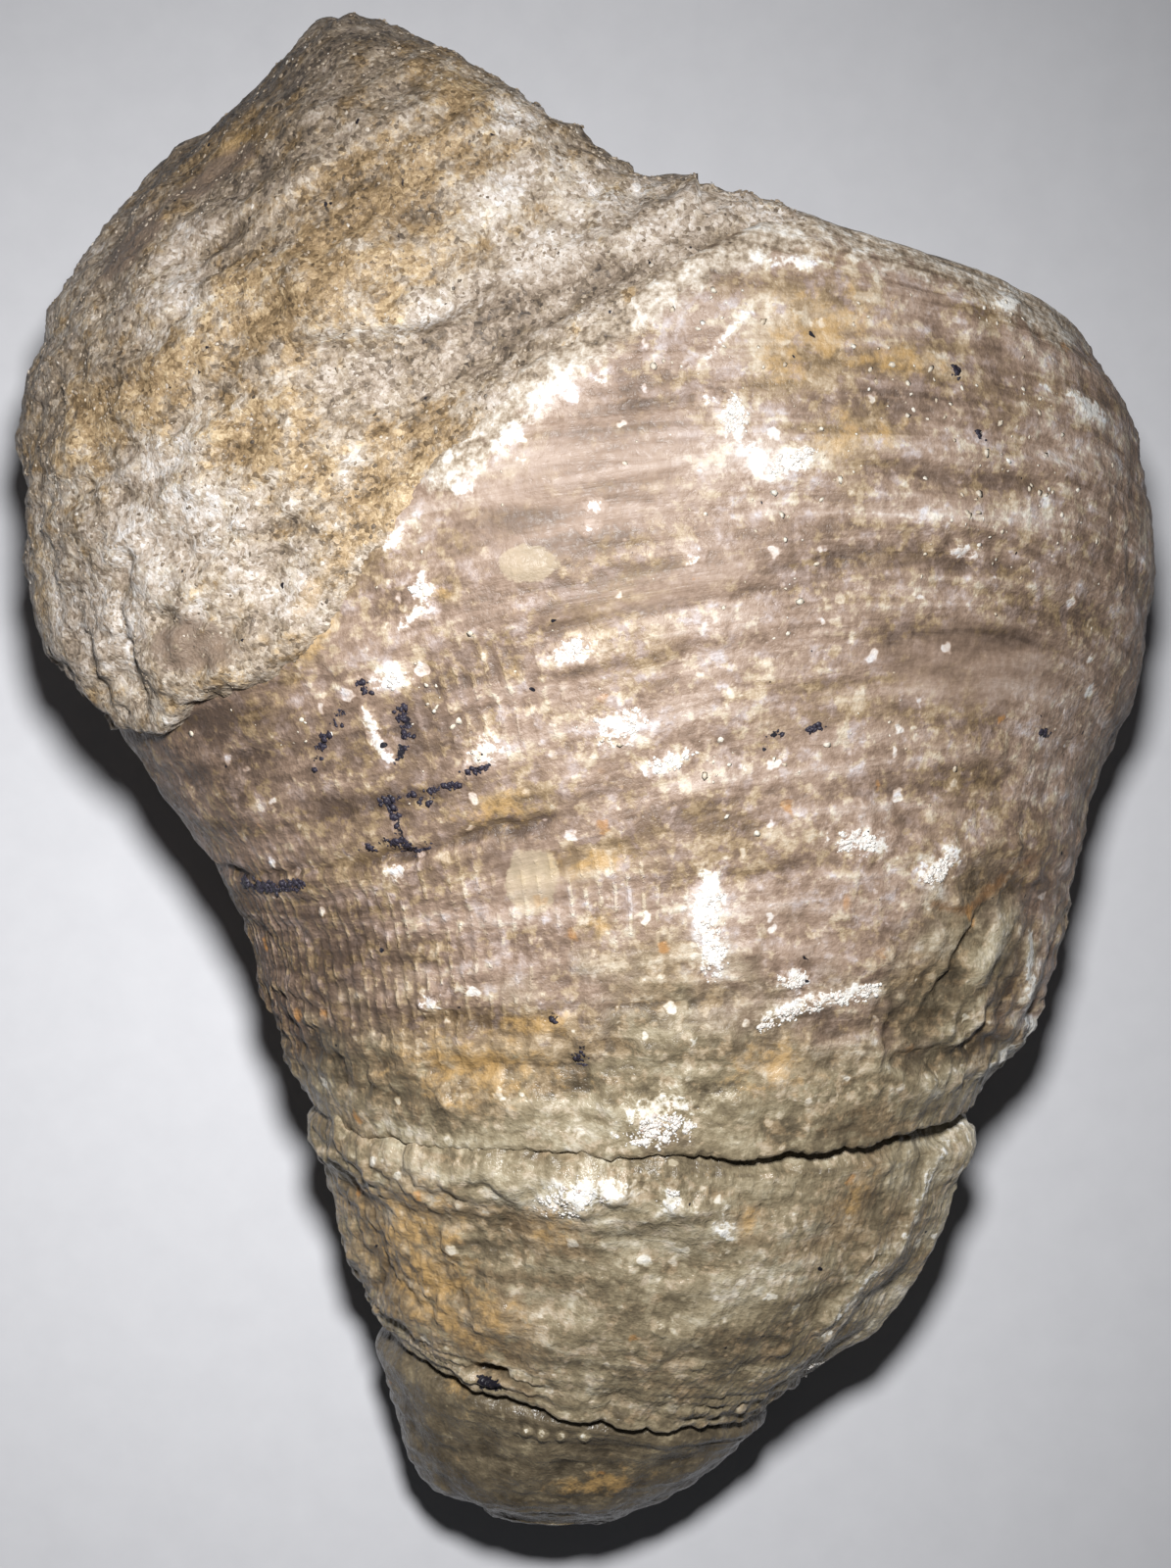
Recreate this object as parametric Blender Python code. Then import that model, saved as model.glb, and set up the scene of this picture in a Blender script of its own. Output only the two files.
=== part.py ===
"""A fossil horn coral, a solitary stone cup lying on its side.

One solid in metres, +Z up. The pointed first-grown end is towards -Y and the open cup, the
calice, faces +Y. The origin is under the middle of the coral, on the surface that it lies on.

The coral grew as three cups, each out of the one before, so the form is a loft through old
growth rings. A ring is given by its left and right ends as seen from above, the heights of its
lowest and highest points, its lean (how far its highest point lies towards the calice) and its
skew (the same, for the right shoulder against the left one). All these sizes are in mm.
"""

import math

import bmesh
import bpy
from mathutils import Vector

MM = 0.001
NAME = "horn_coral"
SEGMENTS = 56

# left x, left y, right x, right y, base z, top z, lean, skew
FIRST_CUP = [
    (-7.0, -48.9, 1.9, -49.3, 7.6, 14.8, -0.5, 0.0),
    (-10.6, -46.9, 6.7, -47.2, 4.4, 18.8, -1.3, 0.0),
    (-12.8, -42.2, 10.3, -43.9, 3.2, 22.2, -2.2, 0.0),
    (-13.4, -37.6, 11.4, -42.4, 3.0, 24.2, -2.8, 0.0),
]
SECOND_CUP = [
    (-13.7, -35.6, 12.8, -41.0, 2.2, 26.2, -4.4, 0.0),
    (-15.5, -32.2, 17.5, -37.0, 1.8, 29.6, -4.3, 0.0),
    (-16.9, -27.2, 21.6, -31.4, 1.6, 33.6, -3.9, 0.0),
    (-17.9, -22.1, 24.9, -23.5, 1.6, 37.4, -3.2, 0.0),
]
LAST_CUP = [
    (-19.0, -20.3, 26.2, -21.5, 0.6, 39.6, -5.0, 0.0),
    (-21.2, -14.8, 29.8, -15.6, 0.4, 42.6, -1.4, 0.6),
    (-22.6, -9.6, 31.8, -8.4, 0.2, 45.4, 0.8, 1.4),
    (-24.9, -5.6, 33.2, -1.2, -0.2, 47.6, 2.4, 2.4),
    (-30.4, 2.4, 36.0, 6.0, -0.8, 50.0, 5.2, 2.4),
    (-35.5, 10.4, 37.1, 12.0, -1.2, 50.8, 5.0, 2.2),
    (-37.1, 18.4, 36.9, 17.8, -1.0, 50.8, 5.0, 2.0),
    (-37.1, 24.9, 35.6, 22.9, -0.6, 50.0, 5.2, 2.0),
]
TIP = (-2.6, -49.8, 11.0)

# The mouth of the last cup, with the stone that fills its left half and stands out of it:
# degrees round from the right end over the top, then x, y, z.
MOUTH = [
    (0, 33.6, 26.9, 24.0),
    (24, 30.7, 30.2, 33.0),
    (40, 25.8, 32.6, 39.0),
    (61, 16.2, 35.6, 44.0),
    (78, 6.5, 38.6, 45.0),
    (85, 2.6, 39.1, 44.0),
    (91, -0.6, 42.0, 42.0),
    (100, -6.4, 45.7, 38.5),
    (112, -12.9, 48.9, 32.0),
    (119, -16.4, 49.8, 28.0),
    (125, -19.0, 48.4, 25.5),
    (131, -22.5, 44.6, 23.5),
    (143, -28.0, 40.4, 21.0),
    (159, -32.9, 34.9, 18.5),
    (180, -35.2, 30.2, 15.0),
    (203, -31.5, 30.6, 8.0),
    (225, -23.5, 30.4, 4.0),
    (247, -13.0, 28.8, 2.4),
    (270, -0.5, 26.8, 2.0),
    (295, 13.0, 25.4, 3.4),
    (320, 25.0, 25.0, 8.4),
    (342, 32.0, 25.8, 16.4),
]
END_POLE = (-2.0, 37.5, 22.0)

# On the end face the stone filling bulges on the left, and on the right the calice is an open
# bowl. Each is a round spot, given as the x and z of its centre, its radius and its height.
END_SPOTS = [(-12.0, 13.5, 14.0, 5.0), (13.5, 23.0, 17.0, -10.0)]

# A shallow valley parts the stone filling from the edge of the cup, given as x, y on top.
VALLEY = [(2.6, 40.0), (-2.0, 36.0), (-7.0, 30.0), (-11.5, 23.0), (-14.0, 16.0), (-18.5, 8.5)]
VALLEY_DEPTHS = (3.0, 3.0, 2.6, 2.0, 1.4, 0.6)
VALLEY_WIDTH = 4.6
VALLEY_LOWEST_Z = 30.0

RINGS_PER_STEP = 3
LAST_CUP_RINGS_PER_STEP = 2
MOUTH_RINGS = 10
END_RINGS = 9


def hermite(start, end, slope_start, slope_end, t):
    """The cubic from start to end with these slopes per unit of t."""
    t2, t3 = t * t, t * t * t
    return (
        start * (2 * t3 - 3 * t2 + 1)
        + slope_start * (t3 - 2 * t2 + t)
        + end * (3 * t2 - 2 * t3)
        + slope_end * (t3 - t2)
    )


def smooth_row(knots, rows, x):
    """A row of numbers at x, on smooth curves through the given rows."""
    i = max(k for k in range(len(knots) - 1) if knots[k] <= x or k == 0)
    before, after = max(i - 1, 0), min(i + 2, len(knots) - 1)
    span = knots[i + 1] - knots[i]
    t = (x - knots[i]) / span
    row = []
    for a, b, c, d in zip(rows[before], rows[i], rows[i + 1], rows[after]):
        slope_start = (c - a) / (knots[i + 1] - knots[before]) * span
        slope_end = (d - b) / (knots[after] - knots[i]) * span
        row.append(hermite(b, c, slope_start, slope_end, t))
    return row


def ring_points(ring):
    """The points of one growth ring, anticlockwise from its right end over the top."""
    left_x, left_y, right_x, right_y, base, top, lean, skew = ring
    left, right = Vector((left_x, left_y, 0)), Vector((right_x, right_y, 0))
    middle, half = (left + right) / 2, (right - left) / 2
    onward = Vector((-half.y, half.x, 0)).normalized()
    points = []
    for step in range(SEGMENTS):
        angle = math.tau * step / SEGMENTS
        along = lean * math.sin(angle) + skew * math.sin(2 * angle)
        point = middle + half * math.cos(angle) + onward * along
        point.z = (top + base) / 2 + (top - base) / 2 * math.sin(angle)
        points.append(point)
    return points


def cup_rings(cup, rings_per_step):
    """The rings of one cup, from its first growth ring to its last."""
    knots = range(len(cup))
    count = (len(cup) - 1) * rings_per_step
    return [ring_points(smooth_row(knots, cup, i / rings_per_step)) for i in range(count + 1)]


def mouth_points():
    """The points of the mouth, in step with those of the growth rings."""
    turn = [(degrees - 360, *place) for degrees, *place in MOUTH[-2:]]
    turn += MOUTH + [(degrees + 360, *place) for degrees, *place in MOUTH[:2]]
    knots = [row[0] for row in turn]
    places = [row[1:] for row in turn]
    return [Vector(smooth_row(knots, places, 360 * i / SEGMENTS)) for i in range(SEGMENTS)]


def rings_to_mouth(last_ring, mouth):
    """Rings from the last growth ring to the mouth, which turn down towards its edge."""
    rings = []
    for i in range(1, MOUTH_RINGS + 1):
        share = math.sin(math.pi / 2 * i / MOUTH_RINGS)
        fall = 1 - math.cos(math.pi / 2 * i / MOUTH_RINGS)
        ring = []
        for start, end in zip(last_ring, mouth):
            point = start.lerp(end, share)
            point.z = start.z + (end.z - start.z) * fall
            ring.append(point)
        rings.append(ring)
    return rings


def end_face_rings(mouth):
    """Rings that close the end face, from the mouth in to its pole, where it is level."""
    pole = Vector(END_POLE)
    rings = []
    for i in range(1, END_RINGS):
        share = i / END_RINGS
        ring = []
        for start in mouth:
            point = start.lerp(pole, share)
            point.y = pole.y + (start.y - pole.y) * (1 - share) ** 2
            ring.append(shaped_end(point))
        rings.append(ring)
    return rings


def shaped_end(point):
    """The point of the end face, moved by the bulge of the filling and the bowl of the calice."""
    for x, z, radius, height in END_SPOTS:
        reach = 1 - ((point.x - x) ** 2 + (point.z - z) ** 2) / radius**2
        if reach > 0:
            point.y += height * reach * reach * (3 - 2 * reach)
    return point


def sunk_in_valley(point):
    """The point of the upper side, lowered where the valley crosses it."""
    if point.z < VALLEY_LOWEST_Z:
        return point
    spot = point.xy
    depth = 0
    for i in range(len(VALLEY) - 1):
        start, end = Vector(VALLEY[i]), Vector(VALLEY[i + 1])
        share = (spot - start).dot(end - start) / (end - start).length_squared
        share = min(max(share, 0), 1)
        away = (spot - start.lerp(end, share)).length / VALLEY_WIDTH
        deepest = VALLEY_DEPTHS[i] + (VALLEY_DEPTHS[i + 1] - VALLEY_DEPTHS[i]) * share
        depth = max(depth, deepest * math.exp(-away * away))
    return point - Vector((0, 0, depth))


def all_rings():
    rings = cup_rings(FIRST_CUP, RINGS_PER_STEP)
    rings += cup_rings(SECOND_CUP, RINGS_PER_STEP)
    rings += cup_rings(LAST_CUP, LAST_CUP_RINGS_PER_STEP)
    mouth = mouth_points()
    rings += rings_to_mouth(rings[-1], mouth)
    rings = [[sunk_in_valley(point) for point in ring] for ring in rings]
    return rings + end_face_rings(rings[-1])


def fan(bm, pole, loop):
    """Closes a loop of vertices with triangles that meet at a pole."""
    for i, vertex in enumerate(loop):
        bm.faces.new((pole, vertex, loop[(i + 1) % len(loop)]))


def loft(bm, rings, first_pole, last_pole):
    """A closed skin from pole to pole over rings of equally many points."""
    loops = [[bm.verts.new(point * MM) for point in ring] for ring in rings]
    fan(bm, bm.verts.new(Vector(first_pole) * MM), loops[0])
    for lower, upper in zip(loops, loops[1:]):
        for i in range(SEGMENTS):
            j = (i + 1) % SEGMENTS
            bm.faces.new((lower[i], lower[j], upper[j], upper[i]))
    fan(bm, bm.verts.new(Vector(last_pole) * MM), loops[-1])
    bmesh.ops.recalc_face_normals(bm, faces=bm.faces)


def cut_flat_below(bm):
    """Wears the underside flat where the coral lies on the surface."""
    everything = bm.verts[:] + bm.edges[:] + bm.faces[:]
    cut = bmesh.ops.bisect_plane(
        bm, geom=everything, plane_co=(0, 0, 0), plane_no=(0, 0, 1), clear_inner=True
    )
    edges = [item for item in cut["geom_cut"] if isinstance(item, bmesh.types.BMEdge)]
    bmesh.ops.edgeloop_fill(bm, edges=edges)


def stone_material():
    material = bpy.data.materials.new("coral_stone")
    material.use_nodes = True
    shader = material.node_tree.nodes["Principled BSDF"]
    shader.inputs["Base Color"].default_value = (0.36, 0.29, 0.22, 1)
    shader.inputs["Roughness"].default_value = 0.6
    shader.inputs["Metallic"].default_value = 0.0
    return material


def make_coral(collection):
    bm = bmesh.new()
    loft(bm, all_rings(), TIP, END_POLE)
    cut_flat_below(bm)
    mesh = bpy.data.meshes.new(NAME)
    bm.to_mesh(mesh)
    bm.free()
    mesh.shade_smooth()
    mesh.materials.append(stone_material())
    coral = bpy.data.objects.new(NAME, mesh)
    collection.objects.link(coral)


def main():
    for old in list(bpy.data.objects):
        bpy.data.objects.remove(old, do_unlink=True)
    collection = bpy.data.collections.new("fossil_horn_coral")
    bpy.context.scene.collection.children.link(collection)
    make_coral(collection)


main()
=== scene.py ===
# %% [markdown]
# # A fossil horn coral
# A horn coral is the stone skeleton of one animal. It grew as a cup, and now and then it built
# a new, wider cup out of the old one, so the outside has stepped rims, growth lines that run
# round it and fine ribs that run along it. This one lies on its side. Its last cup is filled
# with sandy stone that bulges out of the mouth. All lengths below are in mm, and +Y runs from
# the pointed first cup to the mouth.

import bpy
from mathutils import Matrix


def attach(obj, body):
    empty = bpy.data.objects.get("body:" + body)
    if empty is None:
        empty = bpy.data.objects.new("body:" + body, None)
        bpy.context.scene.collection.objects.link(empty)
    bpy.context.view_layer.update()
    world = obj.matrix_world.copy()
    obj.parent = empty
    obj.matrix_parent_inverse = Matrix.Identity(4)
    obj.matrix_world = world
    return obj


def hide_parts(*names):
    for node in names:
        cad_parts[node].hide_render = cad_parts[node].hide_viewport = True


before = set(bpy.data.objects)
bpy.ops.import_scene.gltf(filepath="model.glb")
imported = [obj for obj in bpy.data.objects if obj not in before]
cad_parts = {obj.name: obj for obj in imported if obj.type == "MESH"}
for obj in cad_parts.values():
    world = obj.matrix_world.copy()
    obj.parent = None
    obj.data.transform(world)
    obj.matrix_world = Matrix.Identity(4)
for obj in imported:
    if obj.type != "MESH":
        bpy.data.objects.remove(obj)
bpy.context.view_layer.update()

# %% Modules and units
import math

import bmesh
import bpy
import numpy as np
from mathutils import Vector, kdtree, noise

MM = 0.001

# %% [markdown]
# ## The growth rings
# The coral's form is a stack of old growth rings. Each row gives the ring's left and right ends
# seen from above, the heights of its lowest and highest points, its lean (how far the highest
# point lies towards the mouth) and its skew (the same for the right shoulder against the left).
# A loft through rings was chosen over sculpting a blob, because the mesh rows then are growth
# lines and its columns are ribs, which every pattern of the surface follows.

# %% The rings of the three cups
FIRST_CUP = [
    (-7.0, -48.9, 1.9, -49.3, 7.6, 14.8, -0.5, 0.0),
    (-10.6, -46.9, 6.7, -47.2, 4.4, 18.8, -1.3, 0.0),
    (-12.8, -42.2, 10.3, -43.9, 3.2, 22.2, -2.2, 0.0),
    (-13.4, -37.6, 11.4, -42.4, 3.0, 24.2, -2.8, 0.0),
]
SECOND_CUP = [
    (-13.7, -35.6, 12.8, -41.0, 2.2, 26.2, -4.4, 0.0),
    (-15.5, -32.2, 17.5, -37.0, 1.8, 29.6, -4.3, 0.0),
    (-16.9, -27.2, 21.6, -31.4, 1.6, 33.6, -3.9, 0.0),
    (-17.9, -22.1, 24.9, -23.5, 1.6, 37.4, -3.2, 0.0),
]
LAST_CUP = [
    (-19.0, -20.3, 26.2, -21.5, 0.6, 39.6, -5.0, 0.0),
    (-21.2, -14.8, 29.8, -15.6, 0.4, 42.6, -1.4, 0.6),
    (-22.6, -9.6, 31.8, -8.4, 0.2, 45.4, 0.8, 1.4),
    (-24.9, -5.6, 33.2, -1.2, -0.2, 47.6, 2.4, 2.4),
    (-30.4, 2.4, 36.0, 6.0, -0.8, 50.0, 5.2, 2.4),
    (-35.5, 10.4, 37.1, 12.0, -1.2, 50.8, 5.0, 2.2),
    (-37.1, 18.4, 36.9, 17.8, -1.0, 50.8, 5.0, 2.0),
    (-37.1, 24.9, 35.6, 22.9, -0.6, 50.0, 5.2, 2.0),
]
TIP = (-2.6, -49.8, 11.0)
print("rings:", len(FIRST_CUP), len(SECOND_CUP), len(LAST_CUP))

# %% The mouth: degrees round from the right end over the top, then x, y, z
MOUTH = [
    (0, 33.6, 26.9, 24.0),
    (24, 30.7, 30.2, 33.0),
    (40, 25.8, 32.6, 39.0),
    (61, 16.2, 35.6, 44.0),
    (78, 6.5, 38.6, 45.0),
    (85, 2.6, 39.1, 44.0),
    (91, -0.6, 42.0, 42.0),
    (100, -6.4, 45.7, 38.5),
    (112, -12.9, 48.9, 32.0),
    (119, -16.4, 49.8, 28.0),
    (125, -19.0, 48.4, 25.5),
    (131, -22.5, 44.6, 23.5),
    (143, -28.0, 40.4, 21.0),
    (159, -32.9, 34.9, 18.5),
    (180, -35.2, 30.2, 15.0),
    (203, -31.5, 30.6, 8.0),
    (225, -23.5, 30.4, 4.0),
    (247, -13.0, 28.8, 2.4),
    (270, -0.5, 26.8, 2.0),
    (295, 13.0, 25.4, 3.4),
    (320, 25.0, 25.0, 8.4),
    (342, 32.0, 25.8, 16.4),
]
END_POLE = (-2.0, 37.5, 22.0)
END_SPOTS = [(-12.0, 13.5, 14.0, 5.0), (13.5, 23.0, 17.0, -10.0)]
VALLEY = [(2.6, 40.0), (-2.0, 36.0), (-7.0, 30.0), (-11.5, 23.0), (-14.0, 16.0), (-18.5, 8.5)]
VALLEY_DEPTHS = (3.0, 3.0, 2.6, 2.0, 1.4, 0.6)
VALLEY_WIDTH = 4.6
print("mouth:", len(MOUTH), "places round its edge")

# %% [markdown]
# ## From rings to a smooth surface
# Smooth curves join the rings, so a place on the coral is given by two numbers: how many rings
# along, and the angle round. The helpers work on whole arrays of places at once, which keeps
# hundreds of thousands of points quick.


# %% Smooth curves through rows of numbers
def smooth_rows(knots, rows, x):
    """The rows at every x, on smooth curves through the given rows."""
    knots, rows = np.asarray(knots, float), np.asarray(rows, float)
    last = len(knots) - 1
    i = np.clip(np.searchsorted(knots, x, side="right") - 1, 0, last - 1)
    before, after = np.maximum(i - 1, 0), np.minimum(i + 2, last)
    span = knots[i + 1] - knots[i]
    t = ((x - knots[i]) / span)[:, None]
    rise_start = (rows[i + 1] - rows[before]) * (span / (knots[i + 1] - knots[before]))[:, None]
    rise_end = (rows[after] - rows[i]) * (span / (knots[after] - knots[i]))[:, None]
    t2, t3 = t * t, t * t * t
    return (
        rows[i] * (2 * t3 - 3 * t2 + 1)
        + rise_start * (t3 - 2 * t2 + t)
        + rows[i + 1] * (3 * t2 - 2 * t3)
        + rise_end * (t3 - t2)
    )


def eased(x):
    """0 below 0, 1 above 1, and a smooth step between."""
    x = np.clip(x, 0, 1)
    return x * x * (3 - 2 * x)


# %% Points on growth rings
def ring_frames(cup, along):
    """For each number of rings along: the ring's middle, half width, onward direction and rest."""
    rows = smooth_rows(range(len(cup)), cup, along)
    left, right = rows[:, 0:2], rows[:, 2:4]
    half = (right - left) / 2
    onward = np.stack([-half[:, 1], half[:, 0]], 1)
    onward /= np.linalg.norm(onward, axis=1)[:, None]
    return (left + right) / 2, half, onward, rows[:, 4:]


def ring_points(cup, along, angle):
    """Points of the rings, as an array of rings by angles by x, y, z."""
    middle, half, onward, rest = ring_frames(cup, along)
    base, top, lean, skew = rest.T[:, :, None]
    cos, sin = np.cos(angle)[None, :, None], np.sin(angle)[None, :, None]
    forward = lean[:, :, None] * sin + skew[:, :, None] * np.sin(2 * angle)[None, :, None]
    flat = middle[:, None] + half[:, None] * cos + onward[:, None] * forward
    height = (top + base) / 2 + (top - base) / 2 * np.sin(angle)[None]
    return np.concatenate([flat, height[..., None]], 2)


# %% [markdown]
# ## The last cup's whole surface
# Beyond the last growth ring the wall turns down to the edge of the mouth, and the end face
# closes it. A place is rings along from 0 to 7 on the wall, 7 to 8 on the turn and 8 to 9 on
# the end face.


# %% Wall, turn and end face
def valley_depth(points):
    """How far the shallow valley lowers each point of the upper side."""
    depth = np.zeros(points.shape[:-1])
    for i in range(len(VALLEY) - 1):
        start, end = np.array(VALLEY[i]), np.array(VALLEY[i + 1])
        step = end - start
        share = np.clip(((points[..., :2] - start) @ step) / (step @ step), 0, 1)
        away = np.linalg.norm(points[..., :2] - start - share[..., None] * step, axis=-1)
        deepest = VALLEY_DEPTHS[i] + (VALLEY_DEPTHS[i + 1] - VALLEY_DEPTHS[i]) * share
        depth = np.maximum(depth, deepest * np.exp(-((away / VALLEY_WIDTH) ** 2)))
    return depth * eased((points[..., 2] - 24) / 8)


def mouth_points(angle):
    """Points of the mouth's edge at these angles."""
    degrees = [row[0] for row in MOUTH]
    places = [row[1:] for row in MOUTH]
    knots = [degrees[-2] - 360, degrees[-1] - 360, *degrees, 360, 360 + degrees[1]]
    rows = [*places[-2:], *places, *places[:2]]
    return smooth_rows(knots, rows, np.degrees(angle) % 360)


def last_cup_points(along, angle):
    """Points of the last cup's outside, of its turn and of its end face."""
    last_ring = len(LAST_CUP) - 1.0
    wall = ring_points(LAST_CUP, np.minimum(along, last_ring), angle)
    mouth = mouth_points(angle)[None]
    turn = np.clip(along - last_ring, 0, 1)[:, None, None] * math.pi / 2
    points = wall + (mouth - wall) * np.sin(turn)
    points[..., 2] = wall[..., 2] + (mouth - wall)[..., 2] * (1 - np.cos(turn[..., 0]))
    points[..., 2] -= valley_depth(points)
    share = np.clip(along - last_ring - 1, 0, 1)[:, None]
    rim = points.copy()
    pole = np.array(END_POLE)
    points += (pole - rim) * share[..., None]
    points[..., 1] = pole[1] + (rim[..., 1] - pole[1]) * (1 - share) ** 2
    for x, z, radius, height in END_SPOTS:
        reach = 1 - ((points[..., 0] - x) ** 2 + (points[..., 2] - z) ** 2) / radius**2
        points[..., 1] += height * eased(reach) * eased(share * 8)
    return points


# %% [markdown]
# ## Lips and hidden ends
# Each cup starts at a lip that overhangs the cup before it. The lip is a half round edge, and
# behind it the skin runs back inside the coral and closes there, so that the crack under the
# lip is a real gap.


# %% A cup that starts with a lip
LIP_THICKNESS = 1.0
HIDDEN_DEPTH = 5.0


def lipped_points(outside, along, angle):
    """Points at rings along from -2 (a pole inside) over -1 to 0 (the lip) to the outside."""
    points = outside(np.maximum(along, 0), angle)
    edge = points[along >= 0][0]
    middle = edge.mean(0)
    outward = edge - middle
    outward[:, 1] = 0
    outward /= np.linalg.norm(outward, axis=1)[:, None]
    for i in np.flatnonzero(along < 0):
        step = along[i]
        if step > -1:
            turn = math.pi * (step + 1)
            inward = LIP_THICKNESS / 2 * (1 + math.cos(turn))
            back = LIP_THICKNESS / 2 * math.sin(turn)
            points[i] = edge - outward * inward - np.array([0, back, 0])
        else:
            rise = min(2 * (-1 - step), 1)
            inner = edge - outward * (LIP_THICKNESS + 1.5 * rise)
            inner[:, 1] += HIDDEN_DEPTH * rise
            shrink = np.clip(2 * (-1.5 - step), 0, 1)
            centre = inner.mean(0)
            points[i] = inner + (centre - inner) * shrink
    return points


# %% [markdown]
# ## Columns and rows
# The upper side is what people look at, so it gets most of the mesh's columns. One rib is two
# degrees wide, and on top four columns make a rib. Rows stand closer together where the surface
# turns.

# %% Columns and rows
RIB_DEGREES = 2.0
UPPER_FROM, UPPER_TO = -15.0, 195.0


def column_angles(columns, upper_share):
    """Angles from the seam underneath, right round, closer together on the upper side."""
    edge = (1 - upper_share) / 2
    degrees = np.interp(
        np.linspace(0, 1, columns + 1), [0, edge, 1 - edge, 1], [-90, UPPER_FROM, UPPER_TO, 270]
    )
    return np.radians(degrees)


def ring_steps(*stretches):
    """Rings along, in stretches. A stretch is its start, its end and how many places it has."""
    return np.concatenate([np.linspace(*stretch)[:-1] for stretch in stretches])


# %% [markdown]
# ## Noise and marked places
# Weathering is uneven, so all relief is broken up by noise. The places of single marks, such as
# chalk spots or black mineral lines, are short lists of x and y in mm.


# %% Fractal noise at many points
def rough(points, size, detail=3, seed=0.0):
    """Noise of about -1 to 1 at each point, with lumps of this size in mm."""
    places = (points.reshape(-1, 3) / size + (17.3 * seed, 9.1 * seed, 5.7 * seed)).tolist()
    values = [noise.fractal(place, 1.0, 2.0, detail) for place in places]
    return np.array(values).reshape(points.shape[:-1])


# %% Masks for spots and strokes
def spots_mask(points, spots):
    """1 in the middle of each spot, 0.5 at its edge. A spot is x, y, half length, half width
    and the degrees that its length is turned from +X."""
    mask = np.zeros(points.shape[:-1])
    for x, y, length, width, degrees in spots:
        cos, sin = math.cos(math.radians(degrees)), math.sin(math.radians(degrees))
        dx, dy = points[..., 0] - x, points[..., 1] - y
        away = np.hypot((dx * cos + dy * sin) / length, (dy * cos - dx * sin) / width)
        mask = np.maximum(mask, 1 - away / 2)
    return mask * on_top(points)


def strokes_mask(points, strokes):
    """1 on the line of each stroke, 0.5 at its edge. A stroke is its half width and its points."""
    mask = np.zeros(points.shape[:-1])
    for width, *route in strokes:
        mask = np.maximum(mask, 1 - distance_to(points, route) / (2 * width))
    return mask * on_top(points)


def marks_mask(points, spots, strokes):
    """Spots and strokes of one kind together."""
    return np.maximum(spots_mask(points, spots), strokes_mask(points, strokes))


def distance_to(points, route):
    """The distance in plan of each point from a line through the route's points."""
    away = np.full(points.shape[:-1], 1e3)
    for start, end in zip(route, route[1:]):
        start, step = np.array(start), np.subtract(end, start)
        share = np.clip(((points[..., :2] - start) @ step) / (step @ step), 0, 1)
        spot = start + share[..., None] * step
        away = np.minimum(away, np.linalg.norm(points[..., :2] - spot, axis=-1))
    return away


def on_top(points):
    """1 on the upper side, 0 well under it, so that a mark isn't repeated underneath."""
    return eased((points[..., 2] - 6) / 8)


# %% [markdown]
# ## Small round swellings
# The worn parts are covered with crowded little beads. Each is a low dome on the surface, and a
# search tree finds the two nearest domes for every point.


# %% Small round swellings
def pustules(points, weight, count, widest, seed):
    """Height of round swellings scattered over a surface, more of them where the weight is high."""
    random = np.random.default_rng(seed)
    flat = points.reshape(-1, 3)
    share = np.clip(weight, 0, None).ravel()
    centres = flat[random.choice(len(flat), count, p=share / share.sum())]
    radii = widest * random.uniform(0.5, 1, count)
    tree = kdtree.KDTree(count)
    for index, centre in enumerate(centres):
        tree.insert(centre, index)
    tree.balance()
    height = np.zeros(len(flat))
    for vertex in np.flatnonzero(share > 0):
        for _, index, distance in tree.find_n(flat[vertex], 2):
            swelling = radii[index] * (1 - (distance / radii[index]) ** 2)
            height[vertex] = max(height[vertex], swelling)
    return height.reshape(points.shape[:-1])


# %% [markdown]
# ## Which way is out
# All relief is a move along the surface's own normals, which are worked out from the grid's
# neighbours, once, before the surface is roughened.


# %% Normals of a surface given as a grid of points
def grid_normals(points):
    """Unit normals of a grid of points that runs right round in its second direction."""
    around = np.roll(points[:, :-1], -1, 1) - np.roll(points[:, :-1], 1, 1)
    around = np.concatenate([around, around[:, :1]], 1)
    along = np.gradient(points, axis=0)
    normals = np.cross(along, around)
    return normals / np.maximum(np.linalg.norm(normals, axis=2), 1e-9)[..., None]


# %% [markdown]
# ## One skin from a rolled-up grid
# A flat grid is made, its points are moved onto the surface, and then it is welded along the
# seam and at both poles. That gives a closed skin whose rows are growth lines. Each point keeps
# its number in the grid, so that masks can be stored on the mesh afterwards.


# %% Make the skin
UV_NAME = "OFBake"


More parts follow.
